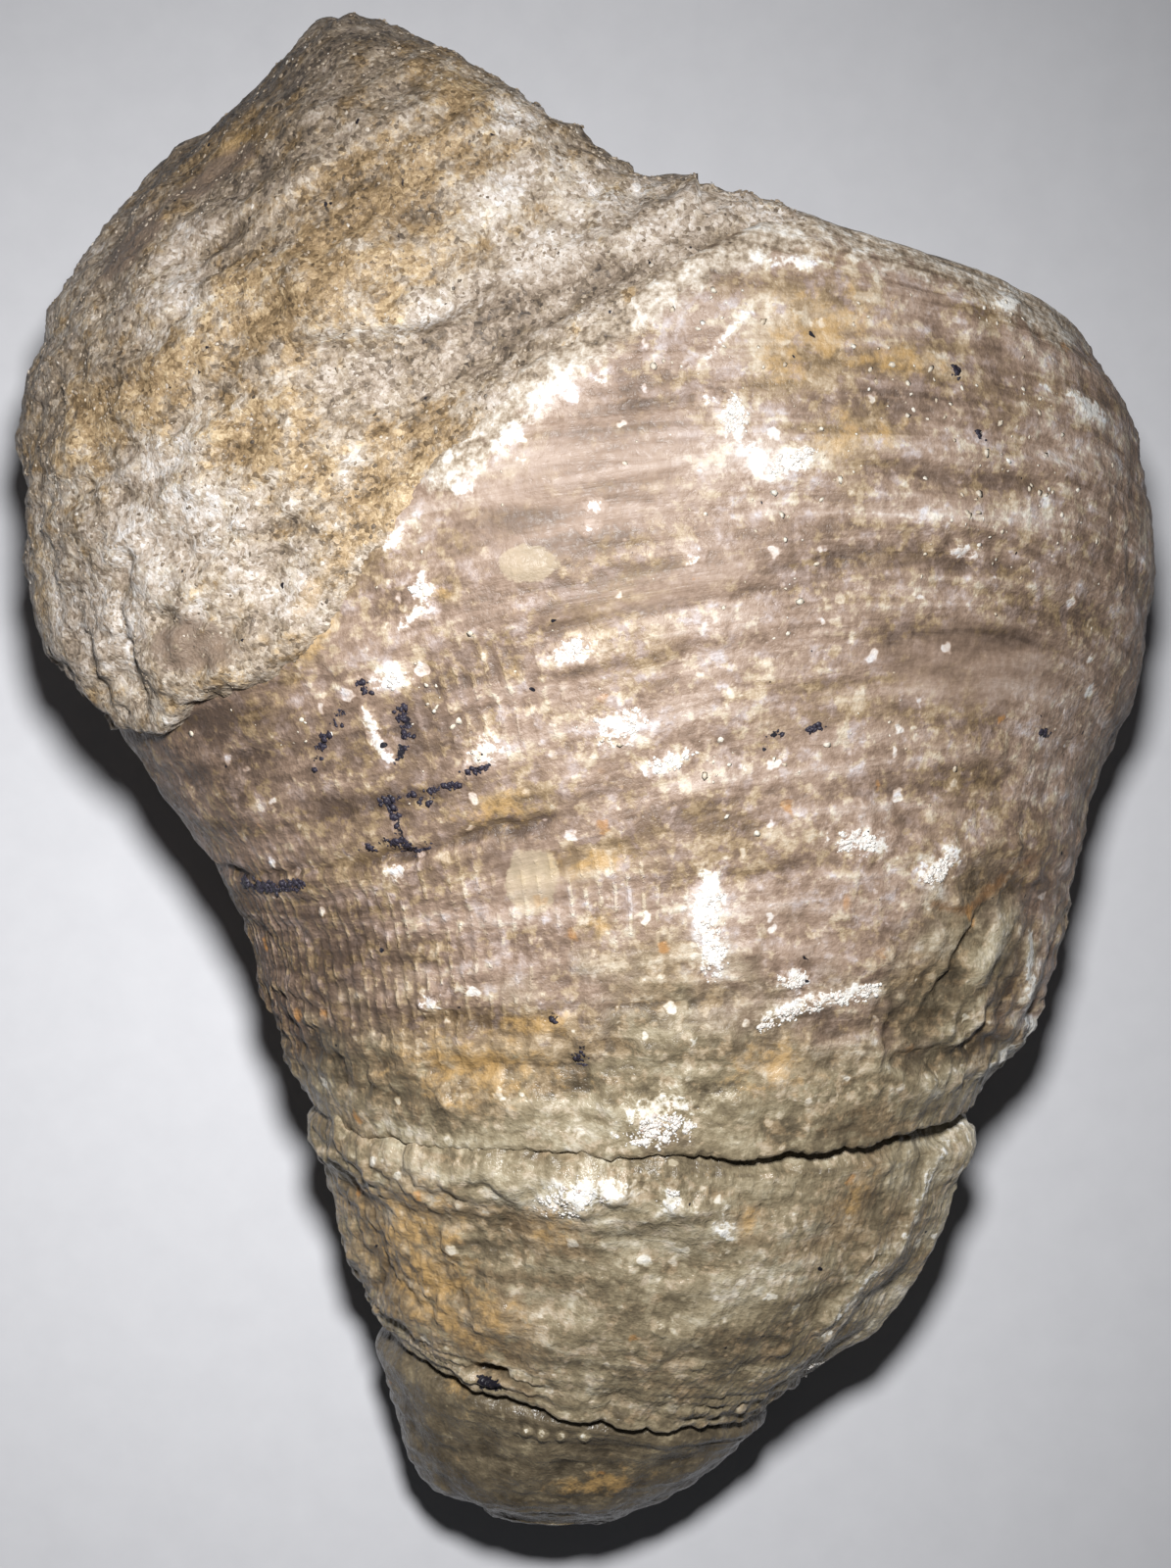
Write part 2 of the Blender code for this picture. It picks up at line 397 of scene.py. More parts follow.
def make_skin(name, points, masks):
    """A closed mesh object from a grid of points, with each mask stored on its vertices."""
    rows, columns = points.shape[0] - 1, points.shape[1] - 1
    points = points.copy()
    points[0], points[-1] = points[0].mean(0), points[-1].mean(0)
    points[:, -1] = points[:, 0]
    bm = bmesh.new()
    bmesh.ops.create_grid(bm, x_segments=columns, y_segments=rows, size=0.5)
    number = bm.verts.layers.int.new("number")
    for vertex in bm.verts:
        i = round((vertex.co.x + 0.5) * columns)
        j = round((vertex.co.y + 0.5) * rows)
        vertex[number] = j * (columns + 1) + i
        vertex.co = points[j, i] * MM
    bmesh.ops.remove_doubles(bm, verts=bm.verts, dist=1e-8)
    bmesh.ops.recalc_face_normals(bm, faces=bm.faces)
    mesh = bpy.data.meshes.new(name)
    bm.to_mesh(mesh)
    bm.free()
    numbers = np.empty(len(mesh.vertices), np.int32)
    mesh.attributes["number"].data.foreach_get("value", numbers)
    for mask_name, mask in masks.items():
        layer = mesh.attributes.new(mask_name, "FLOAT", "POINT")
        layer.data.foreach_set("value", mask.ravel()[numbers].astype(np.float32))
    lay_out_uv(mesh, numbers % (columns + 1), numbers // (columns + 1), columns, rows)
    mesh.attributes.remove(mesh.attributes["number"])
    mesh.shade_smooth()
    skin = bpy.data.objects.new(name, mesh)
    bpy.context.scene.collection.objects.link(skin)
    triangles = sum(len(face.vertices) - 2 for face in mesh.polygons)
    print(name, len(mesh.vertices), "points,", triangles, "triangles")
    return skin


# %% Lay the grid out as a UV map
def lay_out_uv(mesh, column, row, columns, rows):
    """The grid's own columns and rows as UV. Faces past the seam and at the poles are put right."""
    corner = np.empty(len(mesh.loops), np.int32)
    mesh.loops.foreach_get("vertex_index", corner)
    first = np.empty(len(mesh.polygons), np.int32)
    mesh.polygons.foreach_get("loop_start", first)
    count = np.diff(np.append(first, len(corner)))
    face = np.repeat(np.arange(len(first)), count)
    u, v = column[corner].astype(float), row[corner].astype(float)
    past_seam = np.maximum.reduceat(u, first)[face] > columns * 0.75
    u[past_seam & (u < columns * 0.25)] += columns
    pole = (v == 0) | (v == rows)
    beside = np.add.reduceat(np.where(pole, 0, u), first) / np.maximum(
        np.add.reduceat(~pole, first), 1
    )
    u[pole] = beside[face][pole]
    layer = mesh.uv_layers.new(name=UV_NAME)
    layer.uv.foreach_set("vector", np.stack([u / columns, v / rows], 1).astype(np.float32).ravel())


# %% [markdown]
# ## The last cup
# This is the big main stage. Its wall carries the growth lines, the ribs, a deep groove below
# the middle, a peeled place on the right flank with folds, and a thin flange along the right
# edge. Each is a small move of the surface in or out.

# %% Marked places of the last cup
CHALK_SPOTS = [
    (9.4, 22.9, 0.9, 1.6, 0), (10.7, 20.4, 0.5, 1.5, 20), (12.9, 20.1, 2.1, 0.8, 25),
    (7.8, 24.2, 0.7, 0.5, 30), (-0.9, 8.1, 1.3, 0.9, 20), (2.0, 3.3, 1.7, 1.2, 10),
    (5.5, 1.0, 1.6, 0.6, 20), (-2.2, 24.6, 1.7, 0.75, 40), (-5.2, 21.6, 1.2, 0.5, 60),
    (-7.9, 18.6, 0.8, 0.4, 55), (0.8, 25.4, 0.9, 0.5, 20), (-10.6, 12.0, 1.2, 0.7, 15),
    (-11.0, 10.3, 1.4, 0.5, 25), (-12.2, 15.4, 1.2, 0.4, 50), (-12.6, 6.4, 1.5, 0.6, 20),
    (-6.4, 1.7, 1.1, 0.8, 20), (-12.4, -6.2, 0.9, 0.7, 0), (6.8, 13.9, 0.7, 0.5, 45),
    (0.4, 17.3, 0.5, 0.4, 0), (0.1, 15.8, 0.6, 0.5, 20), (22.5, -6.2, 1.0, 0.8, 30),
    (23.6, -5.4, 0.7, 0.9, 0), (13.3, -13.2, 1.2, 0.6, 10), (4.6, -23.0, 2.5, 1.2, 10),
    (27.1, 30.7, 0.9, 0.7, 0), (24.3, 14.4, 0.5, 1.1, 80), (17.5, -4.2, 1.8, 0.9, -10),
    (-10.0, -14.6, 1.0, 0.7, 30), (32.6, 24.0, 1.6, 0.6, -40), (13.0, 33.0, 2.0, 0.5, -8),
]
CHALK_STROKES = [
    (0.28, (29.3, -10.3), (28.9, -17.7), (25.9, -21.0)),
    (0.8, (8.0, -6.8), (7.4, -8.8), (8.2, -12.0)),
    (0.5, (11.2, -16.2), (14.0, -14.8), (18.8, -13.9)),
    (0.35, (-14.4, 4.2), (-13.6, 2.2), (-12.7, 0.7)),
    (0.25, (7.6, 26.6), (8.8, 28.2), (10.4, 29.8)),
]
PALE_SPOTS = [
    (-14.0, -22.0, 3.6, 1.0, -28), (5.0, 31.2, 7.0, 2.0, -6), (10.6, 28.8, 3.6, 1.4, 52),
    (-10.6, 15.4, 3.4, 1.4, 52), (-3.6, 22.8, 6.4, 2.2, 46), (-13.0, 2.4, 1.2, 3.4, 20),
    (10.5, 20.0, 3.5, 3.0, 20), (26.0, 20.8, 6.0, 1.0, 0), (-12.4, 6.0, 2.0, 1.4, 0),
    (8.0, -9.5, 2.0, 5.0, 0),
]
OCHRE_SPOTS = [
    (14.9, 28.5, 3.4, 2.3, 10), (12.9, 26.5, 1.8, 1.4, 40), (19.5, 26.8, 3.5, 1.0, 0),
    (16.8, 21.8, 3.0, 1.2, 10), (-7.7, -19.6, 4.4, 2.4, -10), (-6.0, -2.2, 2.4, 1.0, 15),
    (0.4, -5.6, 2.6, 0.9, 10), (0.7, -9.6, 0.7, 0.9, 0), (-3.8, -16.8, 3.0, 1.0, 10),
    (12.0, -20.0, 2.2, 1.6, 0), (-17.6, 9.4, 3.0, 0.9, 60), (-4.8, 6.8, 0.5, 0.5, 0),
    (-20.8, 8.6, 0.7, 0.7, 0), (-9.4, 11.8, 0.6, 0.8, 0),
]
TAN_SPOTS = [(-3.8, 13.6, 2.0, 1.3, 0), (-3.6, -6.9, 1.9, 2.3, 0)]
RIB_SPOTS = [
    (-6.7, 4.9, 4.2, 4.5, 15), (-10.9, -11.9, 8.4, 5.8, 0), (1.3, -7.4, 5.2, 3.2, 0),
    (-20.9, -13.2, 3.0, 7.0, 0),
]
SMOOTH_SPOTS = [
    (-0.5, 18.5, 9.0, 4.6, 22), (4.0, 12.0, 7.0, 1.6, 15), (25.0, 7.0, 6.0, 3.0, 0),
    (-3.0, -6.5, 3.0, 2.0, 0),
]
MOUTH_RIM = [(6.0, 39.6), (12.0, 37.0), (18.0, 34.8), (26.0, 32.4), (31.0, 29.4)]
# places on the wall where shade is painted darker
SHADE_SPOTS = [
    (-27.0, 2.0, 5.0, 9.0, 30), (-22.0, -12.0, 4.0, 9.0, 12), (-17.0, -13.0, 5.0, 7.0, 0),
    (-13.0, 2.0, 4.0, 3.0, 20), (-29.0, 6.0, 4.0, 3.0, 0),
]
CLEAR_SPOTS = [
    (17.8, 23.4, 4.4, 1.2, 10), (-14.0, -2.0, 7.0, 1.2, 10), (-10.0, 5.5, 5.0, 1.0, 20),
]
PEEL_SPOTS = [(26.8, -13.4, 3.6, 6.6, -24), (22.6, -17.5, 3.0, 4.0, -40)]
PEEL_EDGE = [(22.6, -8.4), (25.0, -8.8), (27.0, -7.0), (29.0, -5.4)]
BLACK_STROKES = [
    (0.30, (-17.8, 0.8), (-16.9, 2.6)), (0.22, (-16.4, 3.0), (-16.0, 4.0)),
    (0.25, (-14.6, 6.0), (-14.2, 5.4)), (0.28, (-12.0, 4.4), (-11.6, 2.8), (-12.2, 0.8)),
    (0.30, (-13.2, -1.6), (-12.2, -1.1), (-10.8, -1.5), (-9.0, -0.8), (-6.4, 0.8)),
    (0.26, (-12.6, -2.2), (-12.0, -4.2), (-11.2, -5.0)),
    (0.22, (-14.9, -4.6), (-13.0, -4.2), (-11.3, -4.9), (-10.2, -4.4)),
    (0.26, (-22.4, -7.0), (-20.8, -7.3), (-18.6, -7.0)),
    (0.10, (10.8, 2.5), (13.4, 2.6), (15.6, 3.4)),
]
BLACK_SPOTS = [
    (-0.3, -18.3, 0.60, 0.42, 0), (-2.3, -15.8, 0.36, 0.28, 30), (23.8, 26.0, 0.16, 0.24, 0),
    (25.4, 21.9, 0.12, 0.4, 20), (29.7, 2.6, 0.3, 0.3, 0),
]
OLIVE_SPOTS = [(5.0, -22.0, 26.0, 8.0, 0), (24.0, -15.0, 6.0, 9.0, -20)]
print("chalk:", len(CHALK_SPOTS), "spots; black:", len(BLACK_STROKES), "strokes")

# %% Bands on the growth rings: ring, half width, first and last degrees round, strength
CLEAR_BANDS = [
    (5.30, 0.09, 38, 64, 0.9), (4.42, 0.15, 30, 76, 0.7), (3.70, 0.09, 34, 62, 0.8),
    (4.12, 0.05, 74, 106, 0.8), (2.75, 0.10, 34, 92, 0.7), (2.20, 0.06, 60, 120, 0.6),
    (6.10, 0.08, 40, 60, 0.7), (1.10, 0.08, 84, 130, 0.6),
]
PALE_BANDS = [
    (4.90, 0.17, 34, 62, 0.8), (4.05, 0.10, 30, 60, 0.8), (3.30, 0.12, 30, 80, 0.6),
    (5.70, 0.10, 36, 52, 0.7), (3.45, 0.08, 95, 135, 0.6),
]

# %% The margin of the filling, in plan
MARGIN = [
    (-45.0, 13.5), (-36.0, 11.4), (-34.4, 8.6), (-29.9, 4.0), (-28.2, 3.5), (-26.7, 4.0),
    (-24.7, 4.6), (-20.6, 6.3), (-16.8, 9.2), (-13.0, 14.6), (-9.2, 19.6), (-3.4, 25.4),
    (1.5, 28.9), (6.5, 32.4), (12.0, 34.9), (17.0, 36.2), (24.0, 41.0), (40.0, 60.0),
]
SANDY_MARGIN = MARGIN[10:16]
MARGIN_BELOW = [
    (-45.0, 13.5), (-36.0, 11.4), (-20.0, 20.0), (0.0, 26.0), (14.0, 24.0), (20.0, 60.0),
]
print("margin:", len(MARGIN), "points above,", len(MARGIN_BELOW), "below")


# %% The distance from the margin
def signed_distance(points, margin):
    """The distance in plan from a line of points, positive on its +Y side."""
    corners = np.array([*margin, (margin[-1][0], 90.0), (-90.0, 90.0), (-90.0, margin[0][1])])
    x, y = points[..., 0], points[..., 1]
    inside = np.zeros(x.shape, bool)
    for (x0, y0), (x1, y1) in zip(corners, np.roll(corners, -1, 0)):
        if y0 == y1:
            continue
        crosses = ((y0 > y) != (y1 > y)) & (x < (x1 - x0) * (y - y0) / (y1 - y0) + x0)
        inside ^= crosses
    return distance_to(points, margin) * np.where(inside, 1, -1)


def filling_distance(points):
    """The distance from the filling's margin, positive on the filling, above and underneath."""
    above = eased((points[..., 2] - 14) / 8)
    over, under = signed_distance(points, MARGIN), signed_distance(points, MARGIN_BELOW)
    return above * over + (1 - above) * under


# %% [markdown]
# ## Growth lines, ribs, bands and painted flank shade
# The animal added wall at its rim, fast or slowly, so the wall swells and sinks along its
# growth rings, and a few stops in growth left real grooves. Where a ring is named, its mark
# follows the ring round the coral, as it grew.

# %% Grooves: rings along, half width, and depth left and right
GROOVES = [
    (2.97, 0.045, 0.50, 0.06), (3.72, 0.05, 0.22, 0.10), (4.05, 0.04, 0.14, 0.10),
    (2.12, 0.05, 0.12, 0.20), (1.2, 0.06, 0.10, 0.18), (0.62, 0.05, 0.22, 0.22),
]


def growth_grooves(along, points):
    """Depth of the grooves that follow the growth lines, broken up here and there."""
    depth = np.zeros_like(along)
    rightness = eased((points[..., 0] + 8) / 14)
    wander = 0.05 * rough(points, 5.0, 3, 12)
    broken = np.clip(0.9 + 1.3 * rough(points, 3.0, 3, 13), 0, 1.6)
    for place, width, left, right in GROOVES:
        deepest = left + (right - left) * rightness
        depth += deepest * np.exp(-(((along + wander - place) / width) ** 2))
    return depth * broken


def growth_bands(along, angle, points, bands):
    """Mask of the bands on growth rings, soft at their ends."""
    degrees = np.degrees(angle)[None]
    ring = along + 0.07 * rough(points, 5.0, 3, 15)
    mask = np.zeros_like(along)
    for place, width, first, last, strength in bands:
        ends = eased((degrees - first) / 8 + 0.5) * eased((last - degrees) / 8 + 0.5)
        band = eased(1.6 - np.abs(ring - place) / width) * ends * strength
        mask = np.maximum(mask, band)
    return mask


def growth_ripple(along, points, size, seed):
    """Noise that is drawn out along the growth lines, as uneven growth leaves it."""
    drawn = np.stack([points[..., 0] / 14, along / size, points[..., 2] / 14], -1)
    return rough(drawn, 1.0, 3, seed)


def rib_count(angle, points, seed):
    """The number of ribs counted round to each point. The ribs wander a little."""
    return np.degrees(angle)[None] / RIB_DEGREES + 0.35 * rough(points, 7.0, 2, seed)


def rib_wave(count):
    """1 on the crest of each rib and -1 in the groove between two."""
    return np.cos(math.tau * count)


def growth_length(points):
    """How many mm of wall have grown up to each row, on average round the coral."""
    steps = np.linalg.norm(np.diff(points, axis=0), axis=2).mean(1)
    length = np.concatenate([[0], np.cumsum(steps)])
    return np.broadcast_to(length[:, None], points.shape[:-1])


def flank_shade(points, top, depth):
    """Mask of the flanks, where shade is painted darker, from this height down."""
    height = points[..., 2]
    return eased((top - height) / depth) * (0.4 + 0.6 * eased(height / 10))


# %% [markdown]
# ## The last cup's masks and shape
# A mask says how strongly a mark is there, from 0 to 1. It is stored on the skin, so that the
# relief and the material of a mark always lie in the same place.


# %% Masks of the last cup
def last_cup_masks(points, along, angle):
    """Every mask that the last cup's material reads, by name."""
    below = eased((points[..., 1] + 12) / -10)
    pale = growth_bands(along, angle, points, PALE_BANDS)
    clear = growth_bands(along, angle, points, CLEAR_BANDS)
    ribs = np.clip(spots_mask(points, RIB_SPOTS) * 1.6 - 0.2, 0.10, 1)
    return {
        "growth": growth_length(points),
        "turn": rib_count(angle, points, 3),
        "ribs": ribs,
        "chalk": marks_mask(points, CHALK_SPOTS, CHALK_STROKES),
        "pale": np.maximum(spots_mask(points, PALE_SPOTS), pale),
        "clear": np.maximum(spots_mask(points, CLEAR_SPOTS), clear),
        "smooth": spots_mask(points, SMOOTH_SPOTS),
        "margin": margin_mask(points),
        # shade: painted shade at the shade spots and on the flanks
        "shade": np.maximum(spots_mask(points, SHADE_SPOTS), 0.7 * flank_shade(points, 30, 18)),
        "ochre": spots_mask(points, OCHRE_SPOTS),
        "tan": spots_mask(points, TAN_SPOTS),
        "olive": np.maximum(below, spots_mask(points, OLIVE_SPOTS)),
        "peel": spots_mask(points, PEEL_SPOTS),
        "rust": strokes_mask(points, [(0.6, *PEEL_EDGE)]),
        "black": marks_mask(points, BLACK_SPOTS, BLACK_STROKES),
        "keel": keel_mask(angle, along),
    }


def margin_mask(points):
    """1 at the filling's upper margin, where the wall is as sandy and streaked as the filling."""
    valley = eased(1 - distance_to(points, SANDY_MARGIN) / 3.2)
    rim = eased(1 - distance_to(points, MOUTH_RIM) / 3.4)
    return np.maximum(valley, rim) * on_top(points)


def keel_mask(angle, along):
    """1 on the thin flange that runs along the right edge, near the lip."""
    degrees = np.degrees(angle)[None]
    return np.exp(-(((degrees - 4) / 3.0) ** 2)) * eased((1.6 - along) / 0.6)


# %% Directions of folds, and the unevenness of a lip
def fold_frame(degrees, long, short):
    """A matrix that turns plan directions and draws a pattern out along one of them."""
    cos, sin = math.cos(math.radians(degrees)), math.sin(math.radians(degrees))
    return np.array([[cos / long, -sin / short, 0], [sin / long, cos / short, 0], [0, 0, 1 / long]])


def lip_wobble(angle):
    """The uneven edge of a lip, the same for all rows."""
    circle = np.stack([np.cos(angle) * 4, np.sin(angle) * 4, 0 * angle], -1)
    return rough(circle, 0.5, 4, 11)[None]


# %% Relief of the last cup
def last_cup_relief(points, grid, masks):
    """How far each point moves out, in mm: growth lines, ribs, lumps, the peeled place and marks."""
    relief = 0.20 * growth_ripple(grid, points, 0.42, 1)
    relief += 0.09 * growth_ripple(grid, points, 0.15, 2)
    relief -= 0.15 * masks["clear"]
    relief -= growth_grooves(grid, points)
    relief += 0.07 * masks["ribs"] * rib_wave(masks["turn"])
    relief += 0.16 * rough(points, 6.0, 3, 4)
    lumpy = np.clip(0.25 + masks["olive"] + 0.8 * rough(points, 5.0, 2, 8), 0.18, 1)
    lumpy *= 1 - 0.7 * eased(masks["smooth"] * 1.6)
    relief += lumpy * (0.42 * rough(points, 3.0, 2, 9) + 0.16 * rough(points, 0.9, 3, 5))
    relief += 0.30 * pustules(points, masks["olive"] * on_top(points), 420, 0.9, 14)
    sunk = eased((masks["peel"] - 0.47 + 0.10 * rough(points, 3.0, 3, 6)) * 7)
    folds = rough(points @ fold_frame(66, 13.0, 2.0), 1.0, 2, 7)
    relief -= sunk * (0.35 + 0.75 * folds)
    relief += 0.5 * masks["keel"]
    return relief + 0.12 * eased((masks["chalk"] - 0.4) * 5)


# %% [markdown]
# ## Under the filling
# Where the filling covers the wall, the wall sinks towards the heart of the cup. Sinking it along
# its normals would fold it out again at the sharp turn of the mouth.


# %% The sunken part of the wall
CUP_HEART = (-2.0, 22.0, 22.0)
SINK = 2.2


def sunken_wall(points, grid):
    """The move that takes the covered part of the wall in under the filling."""
    depth = SINK * eased((filling_distance(points) - 0.6) / 1.6) * eased(grid * 3)
    inward = np.array(CUP_HEART) - points
    inward /= np.linalg.norm(inward, axis=-1)[..., None]
    return inward * depth[..., None]


# %% Build the last cup
def last_cup():
    angle = column_angles(500, 0.84)
    wall_rows = ring_steps((-2, -1, 4), (-1, 0, 7), (0, 7, 131), (7, 8, 35))
    along = np.concatenate([wall_rows, 8 + np.linspace(0, 1, 22) ** 1.3])
    points = lipped_points(last_cup_points, along, angle)
    normals = grid_normals(points)
    grid = np.broadcast_to(along[:, None], points.shape[:-1])
    masks = last_cup_masks(points, grid, angle)
    outside = eased(grid * 3) * eased((8.6 - grid) * 2)
    masks["relief_shade"] = last_cup_relief(points, grid, masks) * outside
    points = points + normals * masks["relief_shade"][..., None] + sunken_wall(points, grid)
    wobble = 0.5 * lip_wobble(angle) + 0.18 * lip_wobble(angle * 5.3)
    points[..., 1] += wobble * eased(1 - np.abs(grid + 0.2) / 0.9)
    points[..., 1] += (0.4 + 1.2 * eased((points[..., 0] + 16) / 14)) * eased(1 - grid / 1.5)
    points[..., 2] = np.maximum(points[..., 2], 0.02)
    return make_skin("last_cup", points, masks)


last_cup_piece = last_cup()

# %% [markdown]
# ## The second and first cups
# The second cup is rounder and more worn, with beads and pits below the last cup's lip and
# creased layers at its own lip. The first cup is the smooth, dark, pointed end with fine rings.
# Both run on inside the next cup, where they close.


# %% Run a cup on inside the next one
def running_on(cup, along, angle):
    """Points of a cup that runs on inside the next: past its last ring it shrinks and closes."""
    last_ring = len(cup) - 1.0
    points = ring_points(cup, np.clip(along, 0, last_ring), angle)
    past = np.clip(along - last_ring, 0, 2)[:, None, None]
    middle = points.mean(1, keepdims=True)
    shrink = 0.12 * np.minimum(past, 1) + 0.88 * np.clip(past - 1, 0, 1)
    points += (middle - points) * shrink
    points[..., 1] += HIDDEN_DEPTH * np.minimum(past, 1)[..., 0]
    return points


# %% Masks that both older cups have
def older_cup_masks(points, ribs, rib_strength):
    """Growth, ribs, the olive colour and the painted flank shade. A mask that isn't here reads as 0.
    """
    return {
        "growth": growth_length(points),
        "turn": ribs,
        "ribs": np.full(points.shape[:-1], rib_strength),
        "olive": np.ones(points.shape[:-1]),
        "shade": flank_shade(points, 20, 16),
    }


# %% Marked places of the second cup
SECOND_CHALK = [
    (0.0, -27.1, 2.7, 1.1, 15), (5.5, -27.6, 0.8, 0.9, 0), (9.0, -29.5, 0.6, 1.0, 0),
]
SECOND_RIDGE = [(0.55, (24.4, -22.8), (22.4, -26.9), (20.6, -30.6), (18.1, -33.6), (15.6, -36.7))]
SECOND_HOLE = [(-6.5, -40.0, 1.0, 0.5, -15)]
SECOND_OCHRE = [
    (-11.6, -29.5, 3.0, 3.0, 0), (-10.0, -33.6, 4.0, 2.6, -50), (-2.4, -29.4, 1.7, 1.2, 0),
    (-6.0, -35.4, 2.4, 1.4, -50), (-9.0, -36.0, 3.0, 1.0, -40), (17.6, -27.4, 0.7, 2.6, -30),
    (10.4, -29.2, 0.9, 0.9, 0),
]
SECOND_PALE = [
    (5.0, -29.6, 7.0, 2.4, 0), (11.0, -33.0, 5.0, 2.0, 20), (-4.0, -27.0, 5.0, 1.8, 10),
    (-12.0, -24.0, 3.4, 1.6, -30),
]
BEAD_SPOTS = [(-9.0, -28.6, 5.0, 1.8, -20), (-2.0, -28.6, 5.0, 1.4, 5), (-10.0, -32.0, 4.0, 3.0, 0)]
LEFT_FOLD = [(-17.0, -21.5), (-16.0, -25.0), (-14.8, -29.0), (-13.6, -33.6)]
print("second cup:", len(SECOND_OCHRE), "golden and", len(SECOND_PALE), "pale places")


# %% Build the second cup
def second_cup():
    angle = column_angles(460, 0.8)
    wall_rows = ring_steps((-2, -1, 4), (-1, 0, 7), (0, 3, 76), (3, 3.8, 22))
    along = np.concatenate([wall_rows, 3.8 + np.linspace(0, 1.2, 7)])
    points = lipped_points(lambda rings, turn: running_on(SECOND_CUP, rings, turn), along, angle)
    normals = grid_normals(points)
    grid = np.broadcast_to(along[:, None], points.shape[:-1])
    degrees = np.degrees(angle)[None]
    near_lip = eased(1 - grid / 0.9) * eased((grid + 0.1) * 8)
    beads = eased(spots_mask(points, BEAD_SPOTS) * 2)
    fold = distance_to(points, LEFT_FOLD) * 0.9
    relief = 0.62 * rough(points, 5.5, 2, 21) + 0.17 * rough(points, 1.7, 3, 22)
    relief += 0.42 * pustules(points, (0.12 + beads) * on_top(points), 420, 0.75, 28)
    relief += 0.12 * growth_ripple(grid, points, 0.3, 23)
    relief += near_lip * 0.45 * (growth_ripple(grid, points, 0.14, 24) + 0.2)
    relief -= 0.7 * np.exp(-(fold**2)) * on_top(points)
    ribs = rib_count(angle, points, 26)
    relief += 0.03 * rib_wave(ribs)
    closed = eased((degrees - 62) / 25) * eased((185 - degrees) / 20)
    relief += (1.5 + 0.5 * rough(points, 1.6, 3, 29)) * eased((grid - 2.3) / 0.6) * closed
    relief -= 1.3 * eased(spots_mask(points, SECOND_HOLE) * 2 - 0.4)
    relief += 0.35 * eased(strokes_mask(points, SECOND_RIDGE) * 2 - 0.4)
    keel = np.exp(-(((degrees - 12) / 5.0) ** 2)) * eased((grid - 0.7) * 1.5)
    relief += 0.9 * keel + 0.1 * keel * rough(points, 1.0, 3, 27)
    outside = eased(grid * 6) * eased((3.8 - grid) * 2)
    points = points + normals * (relief * outside)[..., None]
    points[..., 1] += 0.6 * lip_wobble(angle * 0.8) * eased(1 - np.abs(grid + 0.2) / 0.9)
    points[..., 1] += 0.9 * eased(1 - grid / 1.6)
    points[..., 2] = np.maximum(points[..., 2], 0.3)
    ridge = 0.62 * strokes_mask(points, SECOND_RIDGE)
    masks = older_cup_masks(points, ribs, 0.3) | {
        "relief_shade": 0.4 * relief,
        "chalk": np.maximum(spots_mask(points, SECOND_CHALK), ridge),
        # painted shade: the hole is painted black
        "black": 1.5 * spots_mask(points, SECOND_HOLE),
        "pale": spots_mask(points, SECOND_PALE),
        "ochre": spots_mask(points, SECOND_OCHRE),
        "keel": keel,
    }
    return make_skin("second_cup", points, masks)


second_cup_piece = second_cup()


# %% Build the first cup
FIRST_DOTS = [
    (-4.0, -43.1, 0.34, 0.3, 0), (-2.9, -43.3, 0.3, 0.3, 0), (-1.7, -43.4, 0.3, 0.3, 0),
    (-0.2, -43.6, 0.3, 0.3, 0),
]
FIRST_OCHRE = [(0.5, -46.8, 2.5, 0.8, 10), (-8.0, -39.0, 1.2, 2.0, 0)]


def first_cup():
    angle = column_angles(360, 0.75)
    wall_rows = ring_steps((-1, 0, 20), (0, 3, 64), (3, 3.6, 14))
    along = np.concatenate([wall_rows, 3.6 + np.linspace(0, 1.4, 7)])
    points = running_on(FIRST_CUP, np.maximum(along, 0), angle)
    tip = np.array(TIP)
    start = points[along >= 0][0]
    for i in np.flatnonzero(along < 0):
        share = along[i] + 1
        points[i] = tip + (start - tip) * math.sin(share * math.pi / 2)
        points[i, :, 1] = tip[1] + (start - tip)[:, 1] * (1 - math.cos(share * math.pi / 2))
    normals = grid_normals(points)
    grid = np.broadcast_to(along[:, None], points.shape[:-1])
    relief = 0.36 * rough(points, 4.0, 2, 31) + 0.10 * rough(points, 1.5, 3, 32)
    relief += 0.25 * eased(spots_mask(points, FIRST_DOTS) * 2 - 0.4)
    relief += 0.14 * growth_ripple(grid, points, 0.22, 33)
    relief += 0.4 * eased((grid - 2.3) / 0.6) * on_top(points)
    outside = eased((grid + 1) * 3) * eased((3.8 - grid) * 2)
    points = points + normals * (relief * outside)[..., None]
    masks = older_cup_masks(points, rib_count(angle, points, 34), 0.15) | {
        "relief_shade": relief,
        "chalk": spots_mask(points, FIRST_DOTS),
        "ochre": spots_mask(points, FIRST_OCHRE),
    }
    return make_skin("first_cup", points, masks)


first_cup_piece = first_cup()

# %% [markdown]
# ## The stone filling
# Sandy sediment filled the mouth, hardened and now bulges out over the wall's upper left. It is
# its own skin on the same surface: inside its margin it stands a little proud, and outside it
# dips under the wall, so its ragged edge comes from two real surfaces that cross.

# %% Marked places of the filling
FILLING_WHITE = [
    (-13.4, 25.8, 7.0, 2.4, -14), (-9.8, 29.8, 4.0, 1.6, 30), (-5.3, 41.9, 2.0, 1.6, 30),
    (-5.6, 37.8, 3.0, 1.4, 40), (-17.1, 43.2, 2.0, 0.45, 39), (-26.3, 31.6, 3.6, 2.4, 50),
    (-15.0, 20.7, 2.6, 0.55, 68), (-27.2, 20.6, 5.0, 1.6, 28), (-27.4, 15.4, 5.6, 4.6, 0),
    (-19.6, 11.6, 2.6, 3.0, 0), (-31.6, 10.4, 3.0, 3.4, 0), (3.0, 33.6, 4.0, 1.4, 14),
    (10.0, 36.4, 5.0, 1.2, -14), (20.0, 33.6, 6.0, 1.0, -22), (0.4, 37.4, 4.0, 1.6, -20),
    (-2.6, 32.8, 5.0, 2.2, 42), (-6.4, 28.4, 3.8, 2.4, 40), (-0.6, 31.4, 3.8, 2.0, 40),
]
